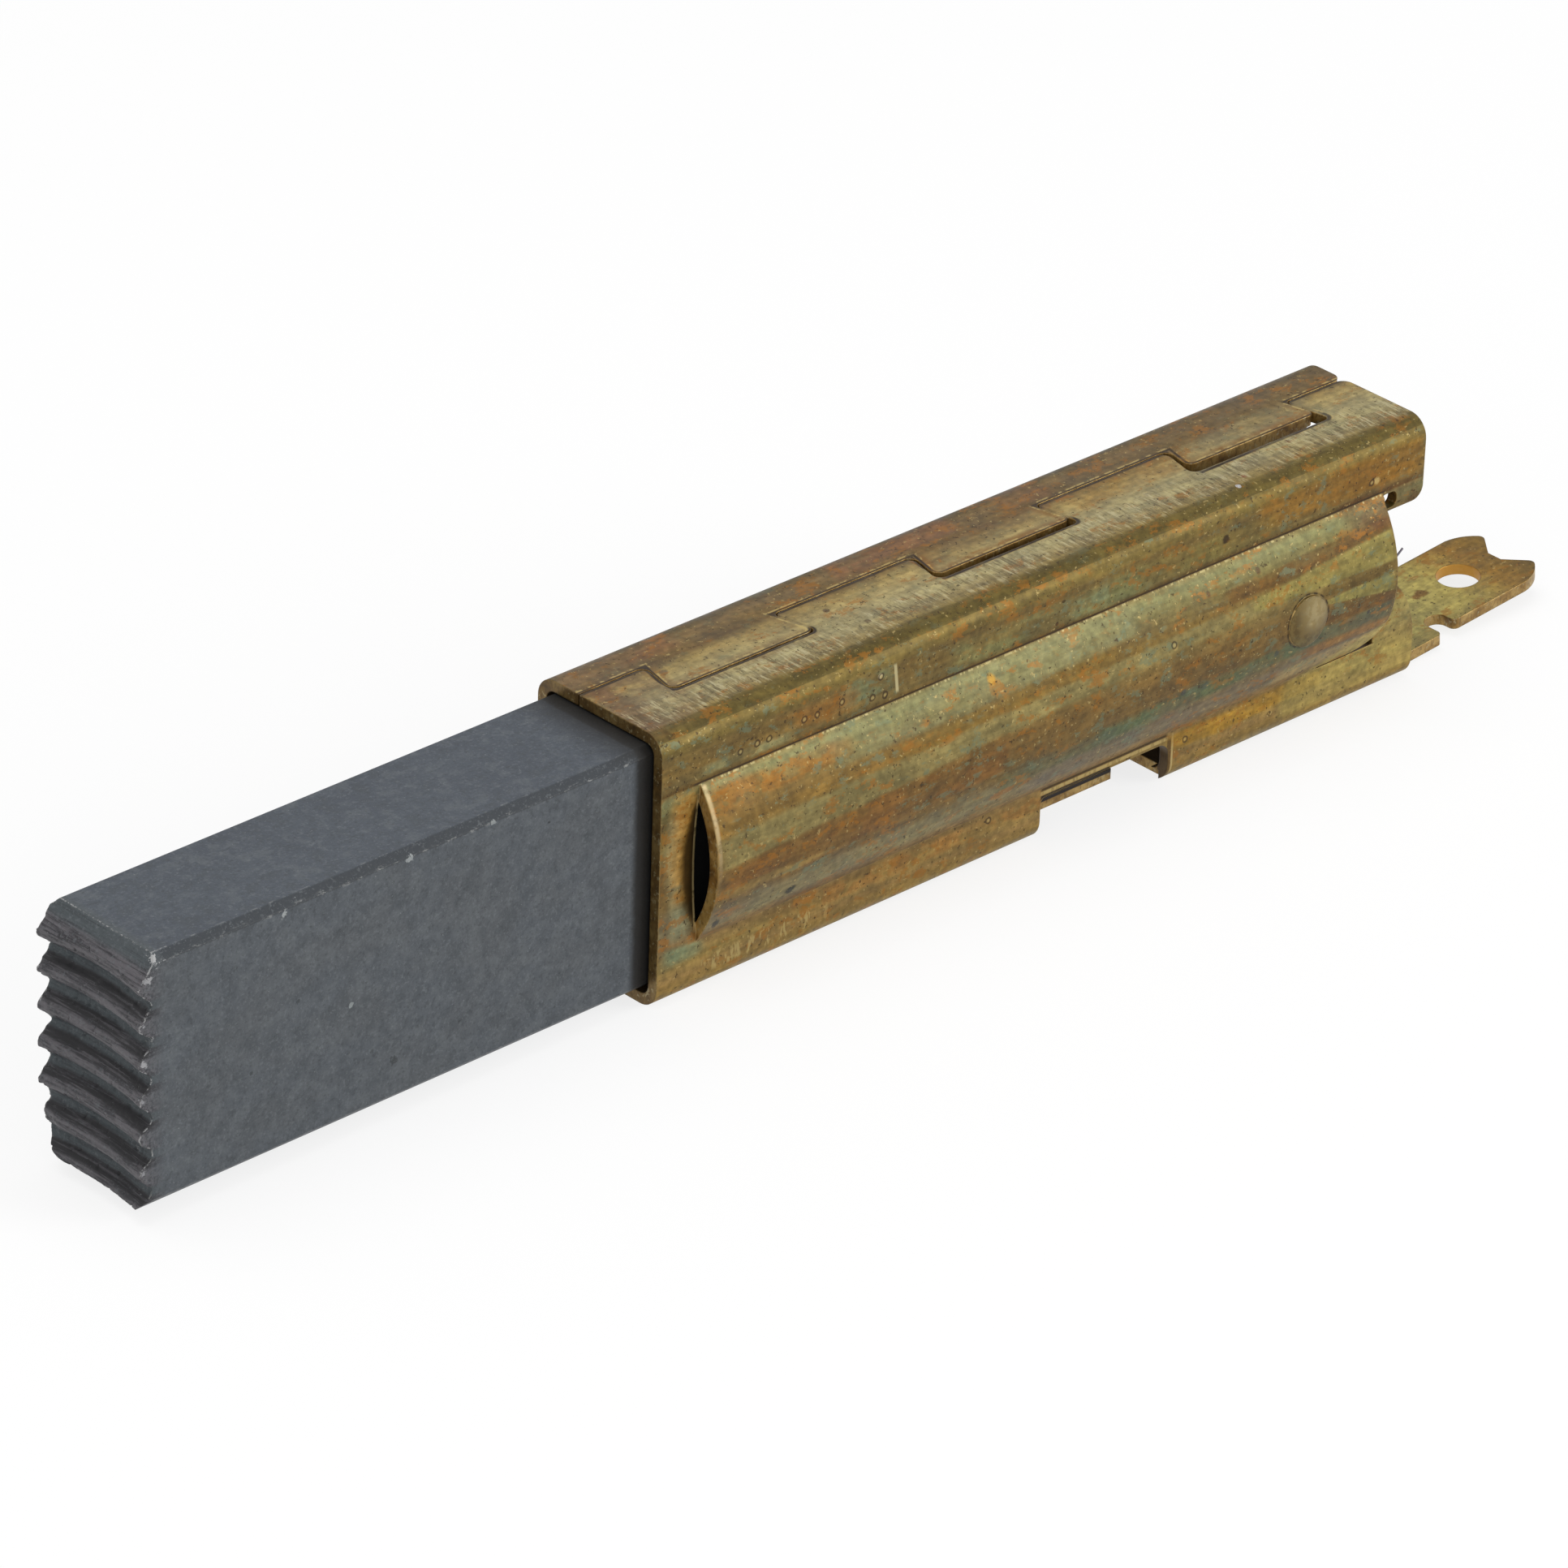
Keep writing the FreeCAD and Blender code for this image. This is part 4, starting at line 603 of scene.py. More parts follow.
def topBrass():
    material, tree, shader = newFinish("topBrass")
    here, _, x, y, _ = placeOn(tree)
    flat = put(tree, "ShaderNodeCombineXYZ", {0: x, 1: y}).outputs[0]
    wander, drift, cloud, fleck, breaks = stripGrains(tree, here)
    along = wobbled(tree, x, (wander, 2.4))
    across = wobbled(tree, y, (drift, 0.7))
    colour = ramp(tree, across, -3.65, 3.65, brassLook["topRamp"])
    colour = patched(tree, colour, along, across, brassLook["topPatches"], breaks)
    colour = spotted(tree, colour, flat, brassLook["topSpots"], fleck, False)
    colour = weathered(tree, here, colour, cloud, fleck, breaks[0], 0.2)

    # scuffs from sliding into the holder, across the near half
    scuffs = grain(tree, here, 0.17, (1, 0.16, 0.2), 4.0, 0.75, shift=5.0)
    scuffed = product(tree, between(tree, across, -2.7, -0.95, 0.3),
                      step(tree, breaks[0], 0.38, 0.5, 0.45, 1.0))
    colour = paint(tree, colour, "#52462d", step(tree, scuffs, 0.53, 0.62), scuffed, 0.65)
    colour = paint(tree, colour, "#c2b78f", step(tree, scuffs, 0.47, 0.38), scuffed, 0.65)

    # seam: the tabs come back at an equal pitch, counted from the first one's front
    seam = brassLook["seam"]
    fromFirst = calc(tree, "SUBTRACT", x, seam["first"])
    number = calc(tree, "FLOOR", calc(tree, "DIVIDE", fromFirst, seam["pitch"]))
    reach = calc(tree, "MULTIPLY_ADD", number, -seam["pitch"], fromFirst)
    spread = calc(tree, "MULTIPLY", calc(tree, "SUBTRACT", y, seam["tip"]), seam["flare"])
    ahead = calc(tree, "SUBTRACT", spread, reach)
    behind = calc(tree, "ADD", calc(tree, "SUBTRACT", reach, seam["length"]), spread)
    later = step(tree, number, 0.0, 1.0, 0.35, 0.8, "LINEAR")
    tip = calc(tree, "MULTIPLY_ADD", number, 0.25, seam["tip"])
    slotTip = calc(tree, "MULTIPLY_ADD", number, -0.05, seam["tip"] - 0.12)
    slotAhead = calc(tree, "SUBTRACT", ahead, calc(tree, "MULTIPLY_ADD", number, 0.09, 0.05))
    besideTab = outside(tree, calc(tree, "MAXIMUM", ahead, behind), calc(tree, "SUBTRACT", tip, y))
    besideSlot = outside(tree, calc(tree, "MAXIMUM", slotAhead, behind),
                         calc(tree, "SUBTRACT", slotTip, y))
    fromTab = calc(tree, "MINIMUM", besideTab, calc(tree, "SUBTRACT", seam["root"], y))
    fromSlot = calc(tree, "MINIMUM", besideSlot, calc(tree, "SUBTRACT", seam["root"] - 0.08, y))

    # rust and gold beside the later tabs' fronts and tips
    halo = product(tree, between(tree, fromTab, -0.4, 0.5, 0.2), step(tree, behind, 0.0, -0.4),
                   step(tree, y, 1.4, 0.9), step(tree, breaks[1], 0.4, 0.55, 0.5, 1.0), later)
    colour = paint(tree, colour, "#7d5726", halo)
    gold = product(tree, between(tree, ahead, -0.2, 0.55, 0.1), step(tree, y, 0.7, 0.2),
                   step(tree, besideTab, 0.75, 0.5), step(tree, number, 0.0, 1.0, 0.0, 0.8, "LINEAR"))
    colour = paint(tree, colour, "#a9762c", gold, step(tree, fleck, 0.4, 0.52))

    # painted highlights along the pressed edges in places, and painted shade along the gap
    tabHighlight = between(tree, fromTab, -0.2, -0.11, 0.03)
    slotHighlight = product(tree, between(tree, fromSlot, 0.1, 0.18, 0.03), step(tree, y, 0.2, 0.0))
    seamHighlight = product(tree, calc(tree, "MAXIMUM", tabHighlight, slotHighlight), step(tree, fleck, 0.47, 0.56), 0.65)
    colour = paint(tree, colour, "#bda668", seamHighlight)
    tabGapShade = between(tree, fromTab, -0.09, 0.05, 0.04)
    slotGapShade = between(tree, fromSlot, -0.05, 0.13, 0.05)
    heel = product(tree, step(tree, behind, -0.2, -0.1), between(tree, y, -0.45, 0.95, 0.15))
    uncovered = calc(tree, "SUBTRACT", 1.0, calc(tree, "MULTIPLY", heel, 0.75))
    gapShade = calc(tree, "MAXIMUM", tabGapShade, slotGapShade)
    gapShade = product(tree, gapShade, uncovered, step(tree, breaks[1], 0.38, 0.52, 0.75, 1.0))
    colour = paint(tree, colour, "#2a1e11", gapShade)

    rounded = finishBrass(tree, shader, colour, cloud, breaks[1], "#6f5b34")
    rough = calc(tree, "MULTIPLY", scuffs, scuffed)
    rounded = bump(tree, cloud, 0.35, 0.05, rounded)
    tree.links.new(bump(tree, rough, 0.5, 0.04, rounded), shader.inputs["Normal"])
    return material


def bladeBrass():
    material, tree, shader = newFinish("bladeBrass")
    here, _, x, y, _ = placeOn(tree)
    flat = put(tree, "ShaderNodeCombineXYZ", {0: x, 1: y}).outputs[0]
    drift = grain(tree, here, 2.2, (0.5, 1, 1), 4.0, shift=7.0)
    cloud = grain(tree, here, 0.9, (0.6, 1, 1), 5.0, 0.6, shift=3.0)
    fleck = grain(tree, here, 0.33, detail=3.0, shift=11.0)
    colour = ramp(tree, wobbled(tree, x, (drift, 3.0)), 21.0, 32.0, brassLook["bladeRamp"])
    edge = product(tree, step(tree, calc(tree, "ABSOLUTE", y), 1.7, 2.5), 0.5)
    colour = paint(tree, colour, "#6e5a33", edge)
    colour = spotted(tree, colour, flat, brassLook["bladeSpots"], fleck, False)
    colour = weathered(tree, here, colour, cloud, fleck, drift, 0.0)
    rounded = finishBrass(tree, shader, colour, cloud, drift, "#5d4822")
    tree.links.new(bump(tree, cloud, 0.3, 0.04, rounded), shader.inputs["Normal"])
    return material


# brass that nobody sees much of: the sleeve's inside and its underside
def dullBrass(name, first, second, metallic, roughness):
    material, tree, shader = newFinish(name)
    here = placeOn(tree)[0]
    cloud = grain(tree, here, 1.6, (0.4, 1, 1), 5.0, 0.6, shift=3.0)
    colour = blend(tree, step(tree, cloud, 0.35, 0.65), ink(first), ink(second))
    rounded, edge = edgesOf(tree, 0.09)
    colour = paint(tree, colour, "#a88f58", edge, 0.5)
    tree.links.new(colour, shader.inputs["Base Color"])
    tree.links.new(bump(tree, cloud, 0.3, 0.05, rounded), shader.inputs["Normal"])
    shader.inputs["Metallic"].default_value = metallic
    shader.inputs["Roughness"].default_value = roughness
    return material


# the sheet's cut edges: gold where they are fresh, brown where they are old
def cutBrass():
    material, tree, shader = newFinish("cutBrass")
    here, place, x, y, z = placeOn(tree)
    shade = grain(tree, here, 0.9, (0.6, 1, 1), 4.0, 0.6)
    lines = grain(tree, here, 0.12, (1, 1, 0.4), 2.0)
    colour = ramp(tree, shade, 0.3, 0.7, [
        (0.3, "#5b4424"), (0.45, "#8a6a35"), (0.55, "#a3854c"), (0.7, "#b89a5e")])
    colour = paint(tree, colour, "#54401f", step(tree, lines, 0.5, 0.65, 0.0, 0.5))
    colour = paint(tree, colour, "#45361d", step(tree, x, -21.4, -21.7, 0.0, 0.55))
    nicks = step(tree, grain(tree, here, 0.2, detail=3.0, shift=9.0), 0.58, 0.66, 0.0, 0.6)
    colour = paint(tree, colour, "#a89b76", nicks)

    # painted shade on the floor's cut face where the window's cut runs on through the floor, for the dark
    # slot seen through the window
    start, end = brassLook["window"]
    slotShade = product(tree, step(tree, z, 0.31, 0.35), between(tree, y, -2.1, -1.4, 0.1),
                     between(tree, x, start - 0.2, 5.7, 0.1))
    colour = paint(tree, colour, "#1a1009", slotShade)
    windowEnd = product(tree, between(tree, x, end - 0.3, end + 0.3, 0.1),
                        step(tree, y, -3.0, -3.1), 0.9)
    colour = paint(tree, colour, "#3b2912", windowEnd)

    hole = step(tree, reachFrom(tree, place, brassLook["hole"]), 1.75, 1.5, 0.0, 0.85)
    colour = paint(tree, colour, "#c8943c", hole)
    tree.links.new(colour, shader.inputs["Base Color"])
    tree.links.new(edgesOf(tree, 0.09)[0], shader.inputs["Normal"])
    shader.inputs["Metallic"].default_value = 0.6
    shader.inputs["Roughness"].default_value = 0.4
    return material


sleeveSheet = {  # where the strip's parts are, in millimetres
    "wallEnd": 21.75,
    "middle": 6.15,
    "top": (11.8, 12.3),
    "topHalf": 2.65,
    "floor": (0.0, 0.5),
    "floorEdge": -2.6,
    "latchEnd": 8,
    "bulge": (2.0, 9.7),
    "bulgeSide": 3.1,
}


# which finish a face of the sleeve takes: 0 wall, 1 top, 2 blade, 3 inside, 4 underside, 5 cut edge
def sleeveFinish(turn, spot):
    sheet = sleeveSheet
    inTop = sheet["top"][0] < spot.z < sheet["top"][1] and abs(spot.y) < sheet["topHalf"]
    inFloor = sheet["floor"][0] < spot.z < sheet["floor"][1] and spot.y > sheet["floorEdge"]
    inBulge = sheet["bulge"][0] < spot.z < sheet["bulge"][1] and abs(spot.y) > sheet["bulgeSide"]
    onBlade = spot.x > sheet["wallEnd"]
    upright = abs(turn.z) < 0.2
    endCut = abs(turn.x) > 0.75 and not onBlade
    bladeSide = onBlade and abs(turn.z) < 0.5
    seamCut = inTop and upright
    bulgeCut = inBulge and turn.z < -0.8
    latchCut = inFloor and upright and spot.x < sheet["latchEnd"]
    if seamCut or endCut or bladeSide or bulgeCut or latchCut:
        return 5
    if onBlade:
        return 2
    if turn.y * spot.y + turn.z * (spot.z - sheet["middle"]) < 0:
        return 3
    if turn.z > 0.7:
        return 1
    return 4 if turn.z < -0.7 else 0


sleeve = nodes["sleeve"]
# the inside's dark browns are painted shade inside the sleeve
dress(sleeve, wallBrass(), topBrass(), bladeBrass(),
      dullBrass("shadedInnerBrass", "#3a2a18", "#574224", 0.4, 0.55),
      dullBrass("baseBrass", "#7a6a42", "#8a6f3c", 0.55, 0.45), cutBrass())
for face in sleeve.data.polygons:
    face.material_index = sleeveFinish(face.normal, face.center / mm)
print("brass sleeve finished")


# Graphite block

blockForm = {  # millimetres
    "tip": -47.75,
    "rear": -11.75,
    "half": 3.03,
    "low": 0.73,
    "high": 11.73,
    "chamfer": 0.33,
    "wearRadius": 15.5,
    "ridgePitch": 1.63,
    "ridgeDepth": 0.6,
    "ridgeTop": 1.14,
    "ridgeLand": 0.28,
    "ridgeReturn": 0.5,
    "ridgeRise": 0.58,
    "bevelDepth": 0.9,
    "bevelFoot": 0.1,
    "breakLength": 2.6,
    "breakRound": {"radius": 1.45, "up": 1.448, "across": 1.418},
    "farChip": {"height": 2.25, "spread": 0.42, "depth": 0.36},
    "plugRadius": 1.6,
    "plugDepth": 5.0,
    "plugHeight": 6.05,
    "across": 96,
    "upward": 300,
    "rings": [1.3, 1.9, 2.6, 3.4, 6.0, 10.0, 14.0, 18.0, 22.0, 26.0, 30.0, 34.0, 36.0],
}


def softly(value, low, high):
    share = min(max((value - low) / (high - low), 0.0), 1.0)
    return share * share * (3 - 2 * share)


# how far the groove between two ridges goes in at a height
def grooveDepth(height):
    form = blockForm
    down = form["high"] - form["ridgeTop"] - height
    if down < 0:
        return 0.0
    down %= form["ridgePitch"]
    inEnd = form["ridgeLand"] + form["ridgeReturn"]
    riseStart = form["ridgePitch"] - form["ridgeRise"]
    if down < form["ridgeLand"]:
        share = 0.0
    elif down < inEnd:
        share = (down - form["ridgeLand"]) / form["ridgeReturn"]
    elif down < riseStart:
        share = 1.0
    else:
        share = (form["ridgePitch"] - down) / form["ridgeRise"]
    return share * form["ridgeDepth"]


# half of the block's width at a height; the far lower corner is broken off near the tip
def halfWidth(height, back, far):
    form = blockForm
    above = height - form["low"]
    half = form["half"] - max(0.0, form["chamfer"] - above, form["chamfer"] - (form["high"] - height))
    beyond = back - form["breakLength"]
    size = 0.4 - 0.2 * beyond if beyond < 0 else max(0.0, 0.4 - 0.5 * beyond)
    if far and size > 0 and above < 1.15 * size:
        rough = 0.05 * noise.noise(Vector((back * 2.1, height * 1.4, 3.0)))
        arc = form["breakRound"]
        squares = arc["radius"] ** 2 - (above / size - arc["up"]) ** 2
        corner = size * (arc["across"] - math.sqrt(max(0.0, squares)))
        half = min(half, form["half"] - corner + rough * size)
    return half


# the worn face: a hollow about the commutator's axis, grooves, a flat bevel, streaks and small chips
def wornPlace(width, height):
    form = blockForm
    axis = form["tip"] - math.sqrt(form["wearRadius"] ** 2 - form["half"] ** 2)
    sway = 0.05 * noise.noise(Vector((width * 0.25, height * 0.7, 1.0)))
    depth = sum(grooveDepth(height + sway + shift) for shift in (-0.1, -0.05, 0.0, 0.05, 0.1)) / 5
    streak = noise.noise(Vector((width * 0.16, height * 4.5, 5.0))) * 0.05
    streak += noise.noise(Vector((width * 0.3, height * 13.0, 9.0))) * 0.022
    pits = noise.noise(Vector((width * 6.0, height * 6.0, 13.0)))
    depth += streak + 0.02 * pits + 0.06 * softly(pits, 0.35, 0.6)
    back = axis + math.sqrt((form["wearRadius"] + depth) ** 2 - width ** 2)
    if height > form["high"] - form["ridgeTop"]:
        slope = (height - form["high"] + form["ridgeTop"]) / form["ridgeTop"]
        flat = form["tip"] + form["bevelFoot"] + (form["bevelDepth"] - form["bevelFoot"]) * slope
        back = max(back, flat + 0.6 * streak + 0.02 * pits)
    rim = form["half"] - abs(width)
    chip = softly(noise.noise(Vector((4.0 * width, height * 2.6, 21.0))), 0.05, 0.5)
    back += 0.12 * chip * softly(rim, 0.35, 0.0)
    broken = form["farChip"]
    share = math.exp(-((height - broken["height"]) / broken["spread"]) ** 2) * softly(width, 1.9, 3.0)
    return back + broken["depth"] * share


def buildBlock():
    form = blockForm
    shape = bmesh.new()
    worn = shape.verts.layers.float.new("worn")
    groove = shape.verts.layers.float.new("groove")
    grid = bmesh.ops.create_grid(shape, x_segments=form["across"], y_segments=form["upward"], size=1)
    tipFaces = set(shape.faces)
    spread = {}
    for vert in grid["verts"]:
        acrossShare, upShare = (vert.co.x + 1) / 2, (vert.co.y + 1) / 2
        spread[vert] = (acrossShare, upShare)
        height = form["low"] + upShare * (form["high"] - form["low"])
        back = wornPlace(2 * form["half"] * (acrossShare - 0.5), height) - form["tip"]
        near, far = halfWidth(height, back, False), halfWidth(height, back, True)
        width = -near + acrossShare * (near + far)
        place = wornPlace(width, height)
        vert.co = Vector((place, width, height)) * mm
        vert[worn] = 1.0
        vert[groove] = grooveDepth(height) / form["ridgeDepth"]

    edges = [edge for edge in shape.edges if edge.is_boundary]
    last = {vert for edge in edges for vert in edge.verts}
    for back in form["rings"]:
        made = bmesh.ops.extrude_edge_only(shape, edges=edges)["geom"]
        ring = [item for item in made if isinstance(item, bmesh.types.BMVert)]
        edges = [item for item in made if isinstance(item, bmesh.types.BMEdge) and item.is_boundary]
        for vert in ring:
            beside = [edge.other_vert(vert) for edge in vert.link_edges]
            source = next(other for other in beside if other in last)
            acrossShare, upShare = spread[vert] = spread[source]
            height = form["low"] + upShare * (form["high"] - form["low"])
            near, far = halfWidth(height, back, False), halfWidth(height, back, True)
            vert.co = Vector((form["tip"] + back, -near + acrossShare * (near + far), height)) * mm
            vert[worn] = 0.0
            vert[groove] = 0.0
        last = set(ring)

    # rear face with the plug's hole
    rear = form["rear"] * mm
    circle = bmesh.ops.create_circle(shape, segments=48, radius=form["plugRadius"] * mm)["verts"]
    quarter = Matrix.Rotation(math.radians(90), 3, "Y")
    bmesh.ops.rotate(shape, verts=circle, cent=(0, 0, 0), matrix=quarter)
    bmesh.ops.translate(shape, verts=circle, vec=(rear, 0, form["plugHeight"] * mm))
    rim = list({edge for vert in circle for edge in vert.link_edges})
    bmesh.ops.bridge_loops(shape, edges=edges + rim)
    deep = bmesh.ops.extrude_edge_only(shape, edges=rim)["geom"]
    deepVerts = [item for item in deep if isinstance(item, bmesh.types.BMVert)]
    bmesh.ops.translate(shape, verts=deepVerts, vec=(-form["plugDepth"] * mm, 0, 0))
    bmesh.ops.contextual_create(shape, geom=[
        item for item in deep if isinstance(item, bmesh.types.BMEdge) and item.is_boundary])
    bmesh.ops.recalc_face_normals(shape, faces=shape.faces)
    for face in shape.faces:
        face.smooth = True
    for edge in shape.edges:
        inTip = all(face in tipFaces for face in edge.link_faces)
        edge.smooth = inTip or edge.calc_face_angle(0.0) < math.radians(30)

    return pieceOf(shape, "graphiteBlock")


graphiteLook = {
    "sideTone": "#4d5155",
    "shadedTopTone": "#40464f",
    "valleyShadeTone": "#26242a",
    "chipTone": "#a9aaa8",
    "mouth": -22.0,
    # pits and chips: place in mm, radius, colour
    "marks": [
        ((-35.0, -3.03, 2.6), 0.17, "#2d3133"), ((-27.1, -3.03, 10.3), 0.07, "#1f2223"),
        ((-37.2, -3.03, 5.9), 0.1, "#8a9090"), ((-40.6, -3.03, 11.2), 0.1, "#a4a8a8"),
        ((-34.3, -3.03, 11.35), 0.14, "#9ba0a0"), ((-30.0, -3.03, 11.35), 0.08, "#8f9494"),
        ((-39.9, -3.03, 7.1), 0.09, "#32373a"), ((-43.0, -3.03, 9.7), 0.1, "#373c3f"),
        ((-42.2, -3.03, 4.8), 0.08, "#33383a"), ((-36.1, -3.03, 3.4), 0.08, "#33383a"),
        ((-31.6, -3.03, 3.1), 0.08, "#2d3133"), ((-33.7, -3.03, 3.9), 0.07, "#2d3133"),
        ((-46.95, -2.95, 11.6), 0.2, "#bababa"), ((-47.3, -3.0, 10.8), 0.14, "#a4a4a6"),
        ((-47.55, -3.0, 8.85), 0.1, "#98989b"), ((-47.55, -3.0, 7.2), 0.12, "#a4a4a6"),
        ((-47.55, -3.0, 5.6), 0.1, "#98989b"), ((-47.55, -3.0, 2.4), 0.1, "#8f8f92"),
    ],
}


def graphite():
    material, tree, shader = newFinish("graphite")
    look = graphiteLook
    here, place, x, y, z = placeOn(tree)
    worn = put(tree, "ShaderNodeAttribute", attribute_name="worn").outputs["Fac"]
    groove = put(tree, "ShaderNodeAttribute", attribute_name="groove").outputs["Fac"]
    mottle = grain(tree, here, 3.2, (0.7, 1, 1), 5.0, 0.6)
    cloud = grain(tree, here, 0.7, detail=5.0, roughness=0.65, shift=8.0)
    fine = grain(tree, here, 0.13, detail=3.0, roughness=0.6, shift=15.0)
    grit = grain(tree, here, 0.24, detail=3.0, roughness=0.7, shift=25.0)
    chamfer = blockForm["high"] - blockForm["chamfer"]  # height where the chamfer starts
    unworn = calc(tree, "SUBTRACT", 1.0, worn)
    upper = product(tree, step(tree, z, chamfer + 0.15, chamfer + 0.3), unworn)
    # the top is bluer and, as painted shade, darker than the sides
    colour = blend(tree, upper, ink(look["sideTone"]), ink(look["shadedTopTone"]))

    # a greenish and a bluish cast that change slowly
    colour = paint(tree, colour, "#4c535b", step(tree, mottle, 0.4, 0.6, 0.0, 0.35))
    colour = paint(tree, colour, "#5f6467", step(tree, cloud, 0.5, 0.64, 0.0, 0.4))
    colour = paint(tree, colour, "#3c4145", step(tree, cloud, 0.5, 0.36, 0.0, 0.5))

    # the chamfer strip is darker, with chips along its lower line
    strip = product(tree, between(tree, z, chamfer - 0.05, chamfer + 0.32, 0.05),
                    step(tree, y, -2.65, -2.75), unworn, 0.9)
    colour = paint(tree, colour, "#262b30", strip)
    chips = grain(tree, here, 0.3, (0.5, 1, 1), 4.0, 0.7, shift=31.0)
    lowerLine = between(tree, z, chamfer - 0.1, chamfer + 0.1, 0.08)
    line = product(tree, step(tree, chips, 0.56, 0.66), lowerLine, step(tree, y, -2.9, -3.0), 0.45)
    colour = paint(tree, colour, look["chipTone"], line)

    # painted shadow of the sleeve's mouth on the block, and painted shade on the part inside the sleeve
    mouthShadowPlace = wobbled(tree, x, (cloud, 0.3))
    mouthShadow = step(tree, mouthShadowPlace, look["mouth"] - 0.75, look["mouth"] - 0.3)
    topMouthShadow = product(tree, step(tree, x, look["mouth"] - 2.4, look["mouth"]),
                    step(tree, z, chamfer - 0.1, chamfer + 0.3), 0.85)
    mouthShadow = product(tree, calc(tree, "MAXIMUM", mouthShadow, topMouthShadow), 0.95)

    # worn face, streaked the way it was turned: from one ridge down to the next it is brown and speckled,
    # then smooth and grey, then black, partly torn graphite and partly painted shade under the crest; the
    # grooves are darkened with painted shade too
    streaks = grain(tree, here, 0.14, (1, 0.05, 1), 4.0, 0.7, shift=41.0)
    face = blend(tree, step(tree, streaks, 0.4, 0.6), ink("#2b2a2e"), ink("#5f5c60"))
    speckle = product(tree, step(tree, grit, 0.6, 0.7), 0.55)
    face = paint(tree, face, "#98959a", speckle)
    face = paint(tree, face, look["valleyShadeTone"], step(tree, groove, 0.3, 1.0), 0.8)
    firstRidge = blockForm["high"] - blockForm["ridgeTop"]
    down = calc(tree, "SUBTRACT", firstRidge, wobbled(tree, z, (mottle, 0.25)))
    ridges = calc(tree, "DIVIDE", down, blockForm["ridgePitch"])
    ridge = calc(tree, "FRACT", ridges)  # share of the way down from one ridge to the next
    onRidges = step(tree, z, firstRidge + 0.05, firstRidge - 0.05)
    smooth = product(tree, between(tree, ridge, 0.45, 0.71, 0.05), onRidges)
    smooth = calc(tree, "MAXIMUM", smooth, step(tree, z, firstRidge + 0.45, firstRidge + 0.75))
    face = paint(tree, face, "#454d50", smooth, step(tree, streaks, 0.35, 0.5, 0.4, 0.85))
    lines = grain(tree, here, 0.11, (0.2, 0.03, 1), 3.0, 0.7, shift=47.0)
    tornAndShaded = product(tree, between(tree, ridge, 0.7, 0.92, 0.05), onRidges,
                   step(tree, lines, 0.4, 0.52, 0.35, 0.95))
    crest = calc(tree, "MAXIMUM", step(tree, ridge, 0.92, 0.98), step(tree, ridge, 0.22, 0.14))
    landing = product(tree, crest, onRidges, step(tree, streaks, 0.36, 0.55, 0.1, 0.5))
    face = paint(tree, face, "#605e61", landing)
    colour = blend(tree, worn, colour, face)

    for centre, radius, code in look["marks"]:
        reach = wobbled(tree, reachFrom(tree, place, centre), (grit, radius * 6))
        colour = paint(tree, colour, code, step(tree, reach, radius * 1.15, radius * 0.8, 0.0, 0.85))

    # pores, bright grains and rubbed edges
    colour = paint(tree, colour, "#34383b", step(tree, grit, 0.57, 0.68, 0.0, 0.5))
    colour = paint(tree, colour, "#6c7174", step(tree, grit, 0.43, 0.33, 0.0, 0.35))
    colour = paint(tree, colour, "#33373a", step(tree, fine, 0.56, 0.7, 0.0, 0.45))
    colour = paint(tree, colour, "#71767a", step(tree, fine, 0.44, 0.3, 0.0, 0.3))
    colour = paint(tree, colour, "#0d0c10", tornAndShaded, worn)
    bright = grain(tree, here, 0.11, detail=2.0, shift=52.0)
    colour = paint(tree, colour, "#8d9293", step(tree, bright, 0.72, 0.78, 0.0, 0.6))
    rounded, edge = edgesOf(tree, 0.1)
    nearTip = step(tree, x, blockForm["tip"] + 2.25, blockForm["tip"] + 1.25)
    rubbed = product(tree, edge, step(tree, chips, 0.5, 0.62, 0.05, 0.6))
    colour = paint(tree, colour, look["chipTone"], rubbed)
    chipped = product(tree, edge, nearTip, step(tree, grit, 0.5, 0.58), step(tree, z, 1.5, 2.5), 0.8)
    colour = paint(tree, colour, "#c4c4c4", chipped)
    # painted shadow and shade at and behind the sleeve's mouth
    colour = paint(tree, colour, "#0d0b08", mouthShadow)
    tree.links.new(colour, shader.inputs["Base Color"])
    shader.inputs["Roughness"].default_value = 0.55
    shader.inputs["Specular IOR Level"].default_value = 0.35
    shape = bump(tree, fine, 0.35, 0.03, bump(tree, cloud, 0.25, 0.06, rounded))
    tree.links.new(shape, shader.inputs["Normal"])
    return material


block = buildBlock()
dress(block, graphite())
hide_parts("carbon_block")
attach(block, "brush")
print("graphite block made:", len(block.data.polygons), "faces")


# Spring

springForm = {  # millimetres
    "front": -11.65,
    "outerRadius": 3.7,
    "wire": 0.55,
    "turns": ((1, 0.62), (7, 4.1372), (1, 0.62)),
    "axisHeight": 6.05,
    "sides": 14,
    "stepsPerTurn": 48,
}


